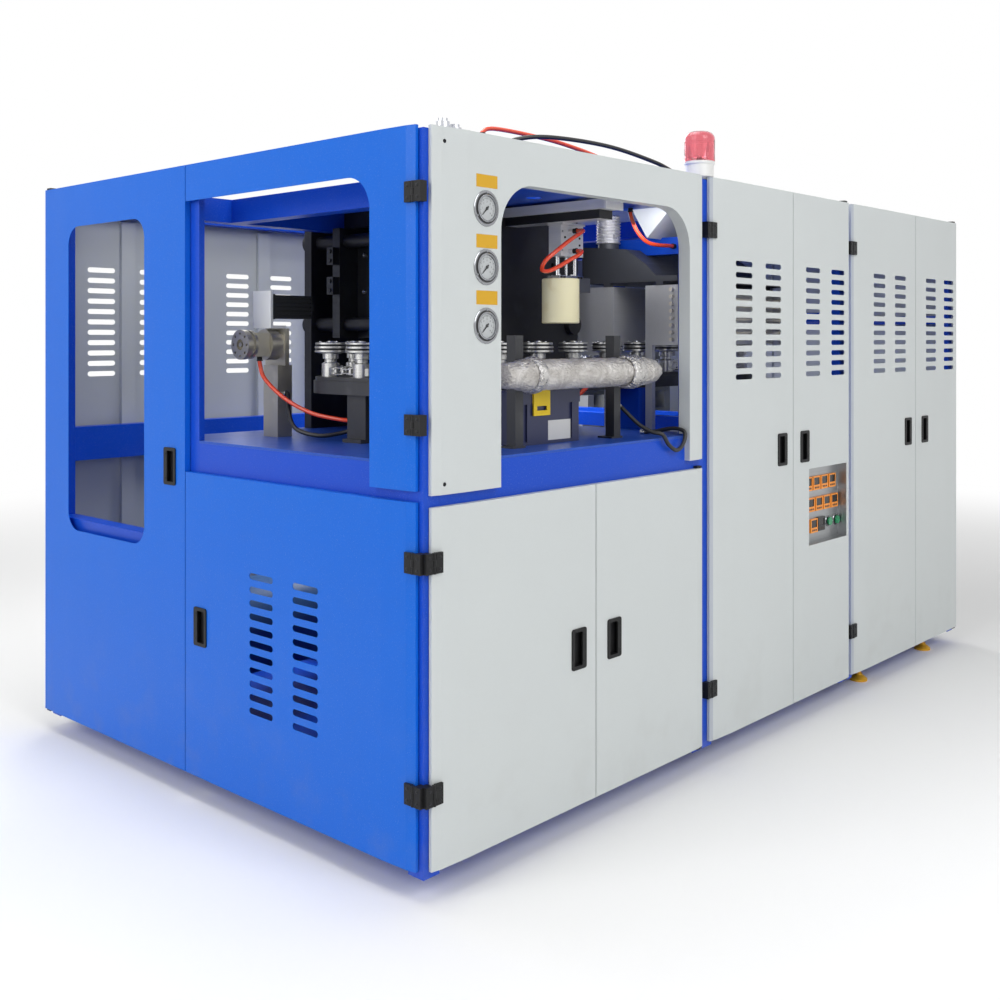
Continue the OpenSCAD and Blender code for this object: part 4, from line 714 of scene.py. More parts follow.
def studs_recipe() -> Recipe:
    """Sets one small form on every seed point, turned to face the point's own way."""
    recipe = Recipe("Studs", Form="object", Scale=1.0)
    shape = recipe.node("GeometryNodeObjectInfo", inputs={"Object": recipe.input("Form")})
    way = recipe.node("GeometryNodeInputNamedAttribute", {"data_type": "FLOAT_VECTOR"}, {"Name": "facing"})
    turn = recipe.node("FunctionNodeAlignRotationToVector", {"axis": "Z"}, {"Vector": way.outputs["Attribute"]})
    spread = recipe.node("GeometryNodeInstanceOnPoints", inputs={
        "Points": recipe.entry.outputs["Geometry"], "Instance": shape.outputs["Geometry"],
        "Rotation": turn.outputs["Rotation"], "Scale": recipe.input("Scale")})
    return recipe.close(spread.outputs["Instances"])


def sleeve_recipe() -> Recipe:
    """Sweeps a round section along the seed's lines, with ribs of a given pitch and height."""
    recipe = Recipe("Sleeve", Radius=0.007, Sides=12, Rib_pitch=0.01, Rib_height=0.0)
    curve = recipe.node("GeometryNodeMeshToCurve", inputs={"Mesh": recipe.entry.outputs["Geometry"]})
    run = Signal(recipe, recipe.node("GeometryNodeSplineParameter").outputs["Length"])
    wave = recipe.maths("SINE", run * (2 * math.pi) / recipe.input("Rib_pitch"))
    radius = recipe.input("Radius") + wave * recipe.input("Rib_height")
    section = recipe.node("GeometryNodeCurvePrimitiveCircle", inputs={
        "Resolution": recipe.input("Sides"), "Radius": 1.0})
    swept = recipe.node("GeometryNodeCurveToMesh", inputs={
        "Curve": curve.outputs["Curve"], "Profile Curve": section.outputs["Curve"],
        "Scale": radius, "Fill Caps": True})
    return recipe.close(swept.outputs["Mesh"])


def crinkle_recipe() -> Recipe:
    """Pushes a mesh in and out along its normals with folds of two sizes."""
    recipe = Recipe("Crinkle", Fold_scale=40.0, Fold_height=0.004)
    place = recipe.node("GeometryNodeInputPosition").outputs["Position"]
    normal = recipe.node("GeometryNodeInputNormal").outputs["Normal"]
    total: Value = 0.0
    for finer, share in ((1.0, 0.6), (2.6, 0.4)):
        fold = recipe.node("ShaderNodeTexVoronoi", inputs={
            "Vector": place, "Scale": recipe.input("Fold_scale") * finer})
        total = (Signal(recipe, fold.outputs["Distance"]) - 0.5) * share + total
    push = recipe.node("ShaderNodeVectorMath", {"operation": "SCALE"}, {
        "Vector": normal, "Scale": total * recipe.input("Fold_height")})
    moved = recipe.node("GeometryNodeSetPosition", inputs={
        "Geometry": recipe.entry.outputs["Geometry"], "Offset": push.outputs["Vector"]})
    return recipe.close(moved.outputs["Geometry"])


class Shop:
    """What every sub-assembly works with: the palette, the recipes and the way to hand a piece in."""

    def __init__(self) -> None:
        """Makes the palette and the shared recipes."""
        self.palette = Palette()
        self.studs, self.sleeve, self.crinkle = studs_recipe(), sleeve_recipe(), crinkle_recipe()

    def dress(self, slot: str, *nodes: str) -> None:
        """Gives the finish of a slot to construction nodes."""
        for name in nodes:
            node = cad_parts[name]
            if not node.material_slots:
                node.data.materials.append(None)
            for material_slot in node.material_slots:
                material_slot.material = self.palette[slot]
            log.info("node %s takes %s", name, slot)

    def add(self, piece: bpy.types.Object, body: str, slot: str, finish: str | None = None,
            replaces: Sequence[str] = ()) -> None:
        """Paints a piece and lets it ride on a body.

        Args:
            piece: The object.
            body: The construction body that it moves with.
            slot: The record's material slot that it belongs to.
            finish: Another finish than the slot's own.
            replaces: Construction nodes that it stands for.
        """
        piece.data.materials.clear()
        piece.data.materials.append(self.palette[finish or slot])
        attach(piece, body)
        if replaces:
            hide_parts(*replaces)
        log.info("piece %s rides on %s: %d faces", piece.name, body, len(piece.data.polygons))

    def set_studs(self, name: str, form: Form, points: Sequence[Point], facing: Sequence[Point],
                  body: str, slot: str, finish: str) -> None:
        """Sets copies of a small form on points, as one piece.

        Args:
            name: The piece's name.
            form: One copy, standing on the frame's origin; it is used up.
            points: Where the copies stand, in millimetres from the near corner.
            facing: The way each one points, or one way for all.
            body: The body that they ride on.
            slot: The record's slot.
            finish: The finish.
        """
        stud = form.done("Stud")
        grown = self.studs.grow(name, point_seed(points, facing), Form=stud, Scale=1.0,
                                Material=self.palette[finish])
        bpy.data.objects.remove(stud)
        self.add(grown, body, slot, finish)


def socket_screw(radius: float, height: float) -> Form:
    """A round screw head with a socket."""
    hollow = radius * 0.5
    return Form().lathe([(radius, 0.0), (radius, height * 0.8), (radius * 0.88, height), (hollow, height),
                         (hollow * 0.9, height * 0.45), (0.0, height * 0.4)], sides=12)


def pan_screw(radius: float, height: float) -> Form:
    """A low domed screw head with a recess."""
    return Form().lathe([(radius, 0.0), (radius, height * 0.35), (radius * 0.75, height * 0.8),
                         (radius * 0.4, height), (radius * 0.22, height * 0.96), (0.0, height * 0.5)], sides=10)


def spline(points: Sequence[Point], step: float) -> list[Point]:
    """Smooth curve through route points.

    Args:
        points: The route, in millimetres.
        step: Distance between the curve's points, in millimetres.

    Returns:
        Points along the curve, its two ends among them.
    """
    ends = [points[0], *points, points[-1]]
    made: list[Point] = []
    for a, b, c, d in zip(ends, ends[1:], ends[2:], ends[3:]):
        a, b, c, d = Vector(a), Vector(b), Vector(c), Vector(d)
        count = max(1, round((c - b).length / step))
        for k in range(count):
            t = k / count
            place = (2 * b + (c - a) * t + (2 * a - 5 * b + 4 * c - d) * t ** 2 + (3 * b - 3 * c + d - a) * t ** 3)
            made.append(tuple(place / 2))
    made.append(tuple(points[-1]))
    return made


class Front(Enum):
    """Sides of the machine that carry doors: the outward direction of each."""

    WHITE = (0.0, -1.0, 0.0)
    BLUE = (-1.0, 0.0, 0.0)

    def spot(self, along: float, proud: float, height: float) -> Point:
        """Point of a face, given along it, out of it and up."""
        return (along, -proud, height) if self is Front.WHITE else (-proud, along, height)


@dataclass(frozen=True)
class Lamp:
    """A square area lamp."""

    place: Point
    aim: Point
    side: float
    power: float


@dataclass(frozen=True)
class Studio:
    """The pale room: camera, lamps, floor and white surroundings."""

    spot: Point = (-3.9618, -3.2697, 1.506)
    heading: float = -47.55
    lens: float = 41.79
    drop: float = -0.161
    ambient: float = 0.37
    floor_side: float = 60.0
    fade: Pair = (3.4, 8.0)
    white: tuple[float, ...] = (1.0, 1.0, 1.0, 1.0)
    pale: tuple[float, ...] = (0.95, 0.95, 0.95, 1.0)
    lamps: tuple[Lamp, ...] = (
        Lamp((-1.6, -6.6, 4.6), (0.0, 0.0, 0.9), 4.0, 205.0),
        Lamp((-7.2, 0.4, 3.8), (-1.6, 0.0, 1.0), 4.0, 172.0),
        Lamp((3.6, 6.0, 5.0), (0.4, 0.0, 1.0), 4.0, 175.0),
        Lamp((-1.3, 0.1, 5.2), (-1.1, 0.0, 1.0), 3.0, 130.0),
        Lamp((0.10, 0.45, 1.92), (0.0, 0.2, 0.0), 0.7, 26.0),
        Lamp((-0.55, -0.80, 1.95), (0.2, -0.3, 1.5), 0.3, 0.9),
    )

    def camera(self) -> None:
        """Sets the camera at the photograph's place."""
        data = bpy.data.cameras.new("Camera")
        data.lens, data.sensor_width, data.shift_y = self.lens, 36.0, self.drop
        data.clip_end = 200.0
        made = link("Camera", data)
        made.location = self.spot
        made.rotation_euler = (math.radians(90), 0.0, math.radians(self.heading))
        bpy.context.scene.camera = made

    def light(self) -> None:
        """Hangs the lamps."""
        for lamp in self.lamps:
            data = bpy.data.lights.new("Soft_Lamp", "AREA")
            data.shape, data.size, data.energy = "SQUARE", lamp.side, lamp.power
            made = link("Soft_Lamp", data)
            made.visible_camera = False
            made.location = lamp.place
            way = Vector(lamp.aim) - Vector(lamp.place)
            made.rotation_euler = way.to_track_quat("-Z", "Y").to_euler()

    def surroundings(self) -> None:
        """Fills the world with soft light that looks white to the camera, metal and glass."""
        world = bpy.data.worlds.new("Room")
        world.use_nodes = True
        bpy.context.scene.world = world
        tree = Tree(world.node_tree)
        tree.tree.nodes.clear()
        soft, plain = (tree.node("ShaderNodeBackground", inputs={"Color": self.white, "Strength": strength})
                       for strength in (self.ambient, 1.0))
        both = tree.node("ShaderNodeMixShader", inputs={
            0: tree.seen(), 1: soft.outputs["Background"], 2: plain.outputs["Background"]})
        tree.node("ShaderNodeOutputWorld", inputs={"Surface": both.outputs["Shader"]})

    def floor(self) -> None:
        """Lays the pale floor, which turns plain white away from the machine."""
        half = self.floor_side / 2
        data = bpy.data.meshes.new("Floor")
        data.from_pydata([(-half, -half, 0), (half, -half, 0), (half, half, 0), (-half, half, 0)], [], [(0, 1, 2, 3)])
        made = link("Floor", data)
        paint = Paint("Floor_Pale")
        x, y, _ = paint.axes
        far = paint.maths("SQRT", x * x + y * y).ramp(*self.fade)
        matt = paint.node("ShaderNodeBsdfDiffuse", inputs={"Color": self.pale})
        glow = paint.node("ShaderNodeEmission", inputs={"Color": self.white, "Strength": 1.0})
        both = paint.node("ShaderNodeMixShader", inputs={
            0: far * paint.seen(), 1: matt.outputs["BSDF"], 2: glow.outputs["Emission"]})
        paint.node("ShaderNodeOutputMaterial", inputs={"Surface": both.outputs["Shader"]})
        data.materials.append(paint.material)


@dataclass(frozen=True)
class SheetCovers:
    """Painted covers and doors, with the plates and bolts that are fixed to them."""

    plate_x: Pair = (203.0, 289.0)
    plate_y: Pair = (-0.9, 0.8)
    plate_z: tuple[Pair, ...] = ((1849.0, 1885.0), (1680.0, 1718.0), (1522.0, 1561.0))
    plate_bevel: float = 0.35
    bolt_x: float = 83.0
    bolt_y: float = 5.4
    bolt_z: Pair = (1034.0, 1960.0)
    bolt: Pair = (5.4, 3.4)

    def build(self, shop: Shop) -> None:
        """Paints the sheets and adds the bare yellow plates and the arch cover's two cap screws."""
        shop.dress("white_sheet", "front_arch_cover", "roof_panels", "end_panel", "front_left_door",
                   "front_right_door", "oven_left_door", "oven_right_door", "cabinet_left_door", "cabinet_right_door")
        shop.dress("blue_sheet", "side_upper_cover", "side_lower_door", "side_tall_door")
        shop.dress("back_sheet", "back_panels")
        shop.dress("blue_frame", "blow_frame", "oven_frame", "cabinet_frame")
        shop.dress("foot_yellow", "levelling_feet")
        shop.dress("bed_blue", "bed_plate")
        form = Form()
        (left, right), (front, back) = self.plate_x, self.plate_y
        for low, high in self.plate_z:
            form.block((left, front, low), (right, back, high), self.plate_bevel)
        shop.add(form.done("Front_Label_Plates"), MACHINE, "white_sheet", "label_yellow")
        points = [(self.bolt_x, self.bolt_y, z) for z in self.bolt_z]
        shop.set_studs("Arch_Cover_Screws", socket_screw(*self.bolt), points, [Front.WHITE.value], MACHINE,
                       "black_fittings", "screw_black")


@dataclass(frozen=True)
class Hinge:
    """Hinge leaves at some heights on one edge of a door."""

    name: str
    body: str
    front: Front
    line: float
    heights: tuple[float, ...]


@dataclass(frozen=True)
class DoorFurniture:
    """Black hinges and pulls, with the hinges' screws as one piece for each door."""

    reach: float = 20.0
    fixed_reach: float = 18.0
    spread: float = 16.0
    proud: float = 2.9
    screw: Pair = (4.6, 2.2)
    hinges: tuple[Hinge, ...] = (
        Hinge("Side_Upper", "side_upper", Front.BLUE, 40, (1196, 1820)),
        Hinge("Side_Lower", "side_lower", Front.BLUE, 40, (208, 827)),
        Hinge("Front_Left", "front_left", Front.WHITE, 40, (208, 827)),
        Hinge("Oven_Left", "oven_left", Front.WHITE, 1410, (186, 1812)),
        Hinge("Cabinet_Left", "cabinet_left", Front.WHITE, 2520, (186, 1812)),
    )

    def build(self, shop: Shop) -> None:
        """Dresses the fittings and sets the hinge screws."""
        shop.dress("black_fittings", "side_upper_hinge_leaves", "side_lower_hardware", "side_tall_pull",
                   "front_left_hardware", "front_right_pull", "oven_left_hardware", "oven_right_pull",
                   "cabinet_left_hardware", "cabinet_right_pull", "fixed_hinge_parts")
        fixed: list[Point] = []
        ways: list[Point] = []
        for hinge in self.hinges:
            spots = []
            for z in hinge.heights:
                for step in (-self.spread, self.spread):
                    spots.append(hinge.front.spot(hinge.line + self.reach, self.proud, z + step))
                    fixed.append(hinge.front.spot(hinge.line - self.fixed_reach, self.proud, z + step))
                    ways.append(hinge.front.value)
            shop.set_studs(f"{hinge.name}_Hinge_Screws", pan_screw(*self.screw), spots, [hinge.front.value],
                           hinge.body, "black_fittings", "screw_black")
        shop.set_studs("Fixed_Hinge_Screws", pan_screw(*self.screw), fixed, ways, MACHINE, "black_fittings",
                       "screw_black")


@dataclass(frozen=True)
class PressureGauges:
    """Three chromed gauges, with white dials, printed ticks and numbers."""

    x: float = 243.0
    heights: tuple[float, ...] = (1463.0, 1627.0, 1791.0)
    dial_y: float = -2.5
    face_y: float = -2.9
    first: float = 225.0
    sweep: float = 270.0
    ticks: int = 40
    numbers: tuple[str, ...] = ("0", "1", "2", "3", "4", "5", "6")
    number_r: float = 18.5
    number_size: float = 0.0075
    tick_rows: tuple[tuple[str, int, float, float, float], ...] = (
        ("Gauge_Ticks", 1, 26.5, 3.2, 0.28), ("Gauge_Long_Ticks", 5, 24.0, 5.7, 0.5))
    dial: tuple[Pair, ...] = ((0, -0.3), (33.6, -0.3), (33.6, 0.25), (33.4, 0.45), (0, 0.45))
    # Black ring between the chrome flange and the bezel: painted shade, a dark part standing for the shade there.
    shade_ring: tuple[Pair, ...] = ((39.1, 0.0), (43.5, 0.0), (43.5, 0.9), (42.6, 1.5), (39.1, 1.5))

    def around(self, radius: float, share: float) -> Pair:
        """Offset right and up of a point at a share of the scale."""
        angle = math.radians(self.first - self.sweep * share)
        return radius * math.cos(angle), radius * math.sin(angle)

    def rings(self, profile: Sequence[Pair], y: float, closed: bool) -> Form:
        """The same turned form at each of the gauges."""
        form = Form()
        for z in self.heights:
            form.lathe(profile, (self.x, y, z), Front.WHITE.value, 48, closed)
        return form

    def scale(self, shop: Shop) -> None:
        """Prints the ticks, every fifth one longer."""
        for name, every, start, length, half in self.tick_rows:
            x, y, z = CORNER
            bar = Form().block((x - half, y - half, z), (x + half, y + half, z + length))
            points, ways = [], []
            for z in self.heights:
                for k in range(0, self.ticks + 1, every):
                    dx, dz = self.around(start, k / self.ticks)
                    points.append((self.x + dx, self.face_y - half * 0.2, z + dz))
                    ways.append((dx / start, 0.0, dz / start))
            shop.set_studs(name, bar, points, ways, MACHINE, "gauge_black", "ink_black")

    def figures(self, shop: Shop) -> None:
        """Prints the numbers of the scale."""
        form = bmesh.new()
        for i, word in enumerate(self.numbers):
            curve = bpy.data.curves.new("Figure", "FONT")
            curve.body, curve.size, curve.extrude = word, self.number_size, 0.0001
            curve.align_x = curve.align_y = "CENTER"
            text = link("Figure", curve)
            mesh = settled(text)
            bpy.data.objects.remove(text)
            dx, dz = self.around(self.number_r, i / (len(self.numbers) - 1))
            for z in self.heights:
                copy = mesh.copy()
                place = Matrix.Translation(at(self.x + dx, self.face_y - 0.1, z + dz))
                copy.transform(place @ Matrix.Rotation(math.pi / 2, 4, "X"))
                form.from_mesh(copy)
                bpy.data.meshes.remove(copy)
            bpy.data.meshes.remove(mesh)
        bmesh.ops.remove_doubles(form, verts=form.verts, dist=1e-7)
        bmesh.ops.recalc_face_normals(form, faces=form.faces)
        data = bpy.data.meshes.new("Gauge_Figures")
        form.to_mesh(data)
        form.free()
        shop.add(link("Gauge_Figures", data), MACHINE, "gauge_black", "ink_black")

    def build(self, shop: Shop) -> None:
        """Dresses the gauges, adds dials and black rings of painted shade and prints the scales."""
        shop.dress("gauge_chrome", "gauge_cases")
        shop.dress("gauge_black", "gauge_pointer_1", "gauge_pointer_2", "gauge_pointer_3")
        dials = self.rings(self.dial, self.dial_y, False)
        shop.add(dials.done("Gauge_Dials"), MACHINE, "gauge_chrome", "dial_white")
        # Painted shade: a black ring between each gauge's flange and bezel.
        shade_rings = self.rings(self.shade_ring, self.face_y, True)
        shop.add(shade_rings.done("Gauge_Gaskets"), MACHINE, "gauge_chrome", "ink_black")
        self.scale(shop)
        self.figures(shop)


@dataclass(frozen=True)
class ControlPanel:
    """Brushed pan with its instruments and push buttons."""

    button_x: Pair = (2369.0, 2436.0)
    button_z: float = 668.0
    plate_y: float = 41.0
    bezel: tuple[Pair, ...] = ((18.9, -0.3), (23.5, -0.3), (23.5, 2.0), (22.0, 3.4), (20.0, 3.4), (18.9, 2.2))

    def build(self, shop: Shop) -> None:
        """Dresses the panel and adds the chromed rings round the buttons."""
        shop.dress("panel_steel", "control_plate")
        shop.dress("instrument_orange", "panel_instruments")
        shop.dress("button_green", "green_button_left", "green_button_right")
        form = Form()
        for x in self.button_x:
            form.lathe(self.bezel, (x, self.plate_y, self.button_z), Front.WHITE.value, 32, closed=True)
        shop.add(form.done("Button_Bezels"), MACHINE, "panel_steel", "gauge_chrome")


@dataclass(frozen=True)
class Beacon:
    """Warning beacon: white base, turning mirror and a ribbed red dome."""

    foot: Point = (1412.0, 52.0, 2057.0)
    height: float = 107.0
    radius: float = 55.0
    wall: float = 3.0
    round_r: float = 28.0
    plain: float = 8.0
    ribbed: float = 67.0
    ribs: int = 9

    def crown(self, radius: float, tuck: float = 0.0) -> list[Pair]:
        """The dome's rounded upper corner, from its side to its top, drawn in by tuck."""
        turns = [math.radians(k * 10) for k in range(10)]
        return [(self.radius - self.round_r + radius * math.cos(a) - tuck,
                 self.height - self.round_r + radius * math.sin(a)) for a in turns]

    def profile(self) -> list[Pair]:
        """Closed section of the dome: ribbed outside, smooth inside."""
        step = self.ribbed / self.ribs
        section = [(self.radius, 0.0), (self.radius, self.plain)]
        for k in range(self.ribs):
            z = self.plain + k * step
            section += [(self.radius - 1.3, z + 1.0), (self.radius - 0.6, z + step * 0.5),
                        (self.radius - 0.35, z + step)]
        section += self.crown(self.round_r, 0.4) + [(0.0, self.height), (0.0, self.height - self.wall)]
        section += self.crown(self.round_r - self.wall)[::-1] + [(self.radius - self.wall, 0.0)]
        return section

    def build(self, shop: Shop) -> None:
        """Dresses the beacon and turns the dome."""
        shop.dress("beacon_white", "beacon_base")
        shop.dress("reflector_mirror", "beacon_reflector")
        form = Form().lathe(self.profile(), self.foot, sides=64, closed=True)
        shop.add(form.done("Beacon_Ribbed_Dome", 40), MACHINE, "beacon_red", replaces=["beacon_dome"])


@dataclass(frozen=True)
class LaggedPipe:
    """Air pipe wound in foil: a dense sleeve that a tree crumples, and its wraps."""

    left: float = 395.0
    length: float = 794.0
    y: float = 80.0
    z: float = 1317.0
    radius: float = 50.0
    rings: int = 260
    sides: int = 96
    wraps_at: tuple[Pair, ...] = ((135.0, 20.0), (633.0, 34.0))
    wrap_low: float = 0.6
    wrap_high: float = 6.6
    wrap_root: float = -6.0

    def section(self, share: float) -> float:
        """Radius at a share of the length, without the folds."""
        l, r = self.length, self.radius
        knots = [(0.0, r - 18), (8, r - 12), (60, r - 10), (72, r - 5), (90, r - 3), (l * 0.70, r - 3),
                 (l * 0.72, r - 7), (l * 0.76, r - 7), (l * 0.79, r - 3), (l * 0.90, r - 3), (l * 0.96, r - 12),
                 (l - 12, r - 24), (l, r - 28)]
        run = share * l
        for (a, ra), (b, rb) in zip(knots, knots[1:]):
            if run <= b:
                return ra + (rb - ra) * (run - a) / (b - a)
        return knots[-1][1]

    def wraps(self, shop: Shop) -> None:
        """Winds a short foil wrap over each post's band."""
        form = Form()
        steps, low, high = 16, self.radius + self.wrap_low, self.radius + self.wrap_high
        for middle, half in self.wraps_at:
            outer = []
            for k in range(steps + 1):
                swell = math.sin(math.pi * k / steps) ** 0.4
                outer.append((low + (high - low) * swell, half * (2 * k / steps - 1)))
            inner = [(self.radius + self.wrap_root, half), (self.radius + self.wrap_root, -half)]
            form.lathe(outer + inner, (self.left + middle, self.y, self.z), (1, 0, 0), self.sides, closed=True)
        grown = shop.crinkle.grow("Foil_Wraps", form.done("Wraps", 180), Fold_scale=95.0, Fold_height=0.005,
                                  Material=shop.palette["wrap_foil"])
        shop.add(grown, MACHINE, "lagging_foil", "wrap_foil")

    def build(self, shop: Shop) -> None:
        """Turns the sleeve, crumples it and dresses the posts."""
        side = [(self.section(k / self.rings), self.length * k / self.rings) for k in range(self.rings + 1)]
        profile = [(0.0, 0.0), *side, (0.0, self.length)]
        sleeve = Form().lathe(profile, (self.left, self.y, self.z), (1, 0, 0), self.sides).done("Sleeve", 180)
        grown = shop.crinkle.grow("Crumpled_Pipe_Lagging", sleeve, Fold_scale=105.0, Fold_height=0.0042,
                                  Material=shop.palette["lagging_foil"])
        shop.add(grown, MACHINE, "lagging_foil", replaces=["lagged_pipe"])
        self.wraps(shop)
        shop.dress("rail_black", "bed_posts")


@dataclass(frozen=True)
class MandrelLine:
    """Endless chain of turned mandrels on its rail."""

    x: Pair = (350.0, 2300.0)
    y: Pair = (350.0, 910.0)
    turn: float = 150.0
    start: float = 108.0
    pitch: float = 190.5
    count: int = 25
    links: int = 5
    base_z: float = 1300.3
    seal_rise: Pair = (91.5, 104.5)
    cap_rise: float = 114.8
    cap_r: float = 34.0
    cap_turns: Point = (30.0, 150.0, 270.0)
    pin_rise: float = 31.8
    cap: Pair = (4.2, 3.6)
    ring: tuple[Pair, ...] = ((46.4, -2.1), (49.4, -2.1), (50.3, -1.0), (50.3, 1.0), (49.4, 2.1), (46.4, 2.1))
    rivet: tuple[Pair, ...] = ((4.4, 0.0), (4.4, 0.8), (3.2, 1.9), (0.0, 2.3))

    def place(self, run: float) -> Point:
        """Place on the loop after a run along it, with the heading in degrees."""
        (x0, x1), (y0, y1), r = self.x, self.y, self.turn
        arc, side, end = math.pi * r / 2, x1 - x0 - 2 * r, y1 - y0 - 2 * r
        run %= 2 * side + 2 * end + 4 * arc

        def bend(cx: float, cy: float, first: float, gone: float) -> Point:
            """Point on a quarter turn."""
            angle = first + math.degrees(gone / r)
            return cx + r * math.cos(math.radians(angle)), cy + r * math.sin(math.radians(angle)), angle + 90
        for length, spot in (
            (end, lambda u: (x0, y1 - r - u, 270.0)), (arc, lambda u: bend(x0 + r, y0 + r, 180, u)),
            (side, lambda u: (x0 + r + u, y0, 0.0)), (arc, lambda u: bend(x1 - r, y0 + r, 270, u)),
            (end, lambda u: (x1, y0 + r + u, 90.0)), (arc, lambda u: bend(x1 - r, y1 - r, 0, u)),
            (side, lambda u: (x1 - r - u, y1, 180.0)), (arc, lambda u: bend(x0 + r, y1 - r, 90, u)),
        ):
            if run < length:
                return spot(run)
            run -= length
        return x0, y1 - r, 270.0

    def build(self, shop: Shop) -> None:
        """Dresses the rail and chain, and adds seal rings, cap screws and the rivet heads of the chain's pins."""
        shop.dress("rail_black", "chain_rail")
        shop.dress("chain_steel", "mandrel_chain")
        seals, caps, pins = [], [], []
        for k in range(self.count):
            run = self.start + k * self.pitch
            x, y, way = self.place(run)
            seals += [(x, y, self.base_z + rise) for rise in self.seal_rise]
            for turn in self.cap_turns:
                a = math.radians(way + turn)
                caps.append((x + self.cap_r * math.cos(a), y + self.cap_r * math.sin(a), self.base_z + self.cap_rise))
            for i in range(1, self.links):
                x, y, _ = self.place(run + (i - 0.5) * self.pitch / self.links)
                pins.append((x, y, self.base_z + self.pin_rise))
        for name, form, points, finish in (
            ("Mandrel_Seal_Rings", Form().lathe(self.ring, sides=24), seals, "screw_black"),
            ("Mandrel_Cap_Screws", socket_screw(*self.cap), caps, "screw_zinc"),
            ("Chain_Rivet_Heads", Form().lathe(self.rivet, sides=10), pins, "screw_zinc"),
        ):
            shop.set_studs(name, form, points, [UP], MACHINE, "chain_steel", finish)


@dataclass(frozen=True)
class ClampStation:
    """Clamp plates, tie bars and the two mould halves, with the bolt heads of the front plate and the moulds."""

    edge_x: Pair = (628.0, 1312.0)
    edge_z: tuple[float, ...] = (1132.0, 1250.0, 1360.0, 1640.0, 1700.0, 1861.0)
    top_x: tuple[float, ...] = (780.0, 890.0, 1050.0, 1160.0)
    bolt_y: float = 550.2
    bolt: Pair = (9.0, 8.0)
    moulds: tuple[tuple[str, float], ...] = (("front_mould", 790.0), ("rear_mould", 1030.0))
    mould_x: float = 689.8
    mould_z: tuple[float, ...] = (1480.0, 1600.0, 1733.0)

    def build(self, shop: Shop) -> None:
        """Dresses the clamp and sets the bolts of its front plate and of both moulds."""
        shop.dress("clamp_black", "clamp_frame")
        shop.dress("mould_steel", "front_mould_half", "rear_mould_half")
        points = [(x, self.bolt_y, z) for x in self.edge_x for z in self.edge_z]
        points += [(x, self.bolt_y, self.edge_z[-1]) for x in self.top_x]
        shop.set_studs("Clamp_Plate_Bolts", socket_screw(*self.bolt), points, [Front.WHITE.value], MACHINE,
                       "clamp_black", "screw_zinc")
        for body, y in self.moulds:
            points = [(self.mould_x, y, z) for z in self.mould_z]
            shop.set_studs(f"{body.title()}_Screws", socket_screw(*self.bolt), points, [Front.BLUE.value], body,
                           "mould_steel", "screw_zinc")


@dataclass(frozen=True)
class LoaderStation:
    """Beam, guided cylinder and nylon head over the front row."""

    x: float = 1010.0
    screw: Pair = (3.8, 3.2)

    def build(self, shop: Shop) -> None:
        """Dresses the loader and sets its screws."""
        shop.dress("bar_aluminium", "loader_beam", "loader_cylinder")
        shop.dress("nylon_cream", "loader_head")
        for name, body, slot, reach, y, heights in (
            ("Loader_Cylinder_Screws", MACHINE, "bar_aluminium", (-40, 40), 310.8, (1752, 1776)),
            ("Loader_Plate_Screws", "loader", "nylon_cream", (-54, -38, 38, 54), 313.8, (1639.5,)),
        ):
            points = [(self.x + dx, y, z) for dx in reach for z in heights]
            shop.set_studs(name, socket_screw(*self.screw), points, [Front.WHITE.value], body, slot, "screw_black")


@dataclass(frozen=True)
class DriveUnit:
    """Servo motor and index gearbox at the chain's left end."""

    def build(self, shop: Shop) -> None:
        """Dresses the drive."""
        shop.dress("motor_black", "servo_motor")
        shop.dress("gearbox_metal", "index_gearbox")


@dataclass(frozen=True)
class HeaterTunnel:
    """Reflectors, lamps and hood of the oven, with the white chute and the ribbed foil duct."""

    chute_x: Pair = (1404.0, 1580.0)
    chute_y: Point = (160.0, 274.0, 345.0)
    chute_z: Pair = (1799.0, 1911.0)
    sheet: float = 3.0
    duct: Point = (1444.0, 482.0, 1790.0)
    duct_top: float = 1896.0
    duct_r: float = 0.045
    rib_pitch: float = 0.011
    rib_height: float = 0.0028

    def chute(self, shop: Shop) -> None:
        """Hangs the white folded chute under the top rail: two sloping sheets and a closed end."""
        left, apex, right = self.chute_y
        low, high = self.chute_z
        start, thick = self.chute_x[0], self.sheet
        form = Form()
        form.prism([(left, high), (apex, low), (right, high), (right - thick, high), (apex, low + thick),
                    (left + thick, high)], *self.chute_x)
        form.prism([(left + 2, high - 1), (apex, low + 2), (right - 2, high - 1)], start + 1, start + thick)
        shop.add(form.done("White_Chute"), MACHINE, "white_sheet")

    def build(self, shop: Shop) -> None:
        """Hangs the chute, dresses the oven and runs the duct up from the hood's collar."""
        self.chute(shop)
        shop.dress("oven_reflector", "oven_tunnel")
        shop.dress("lamp_ceramic", "heater_lamps")
        shop.dress("hood_grey", "exhaust_hood")
        x, y, low = self.duct
        steps = 96
        path = [(x, y, low + (self.duct_top - low) * k / steps) for k in range(steps + 1)]
        grown = shop.sleeve.grow("Foil_Duct", path_seed([path]), Radius=self.duct_r, Sides=40,
                                 Rib_pitch=self.rib_pitch, Rib_height=self.rib_height,
                                 Material=shop.palette["duct_foil"])
        shop.add(grown, MACHINE, "hood_grey", "duct_foil")


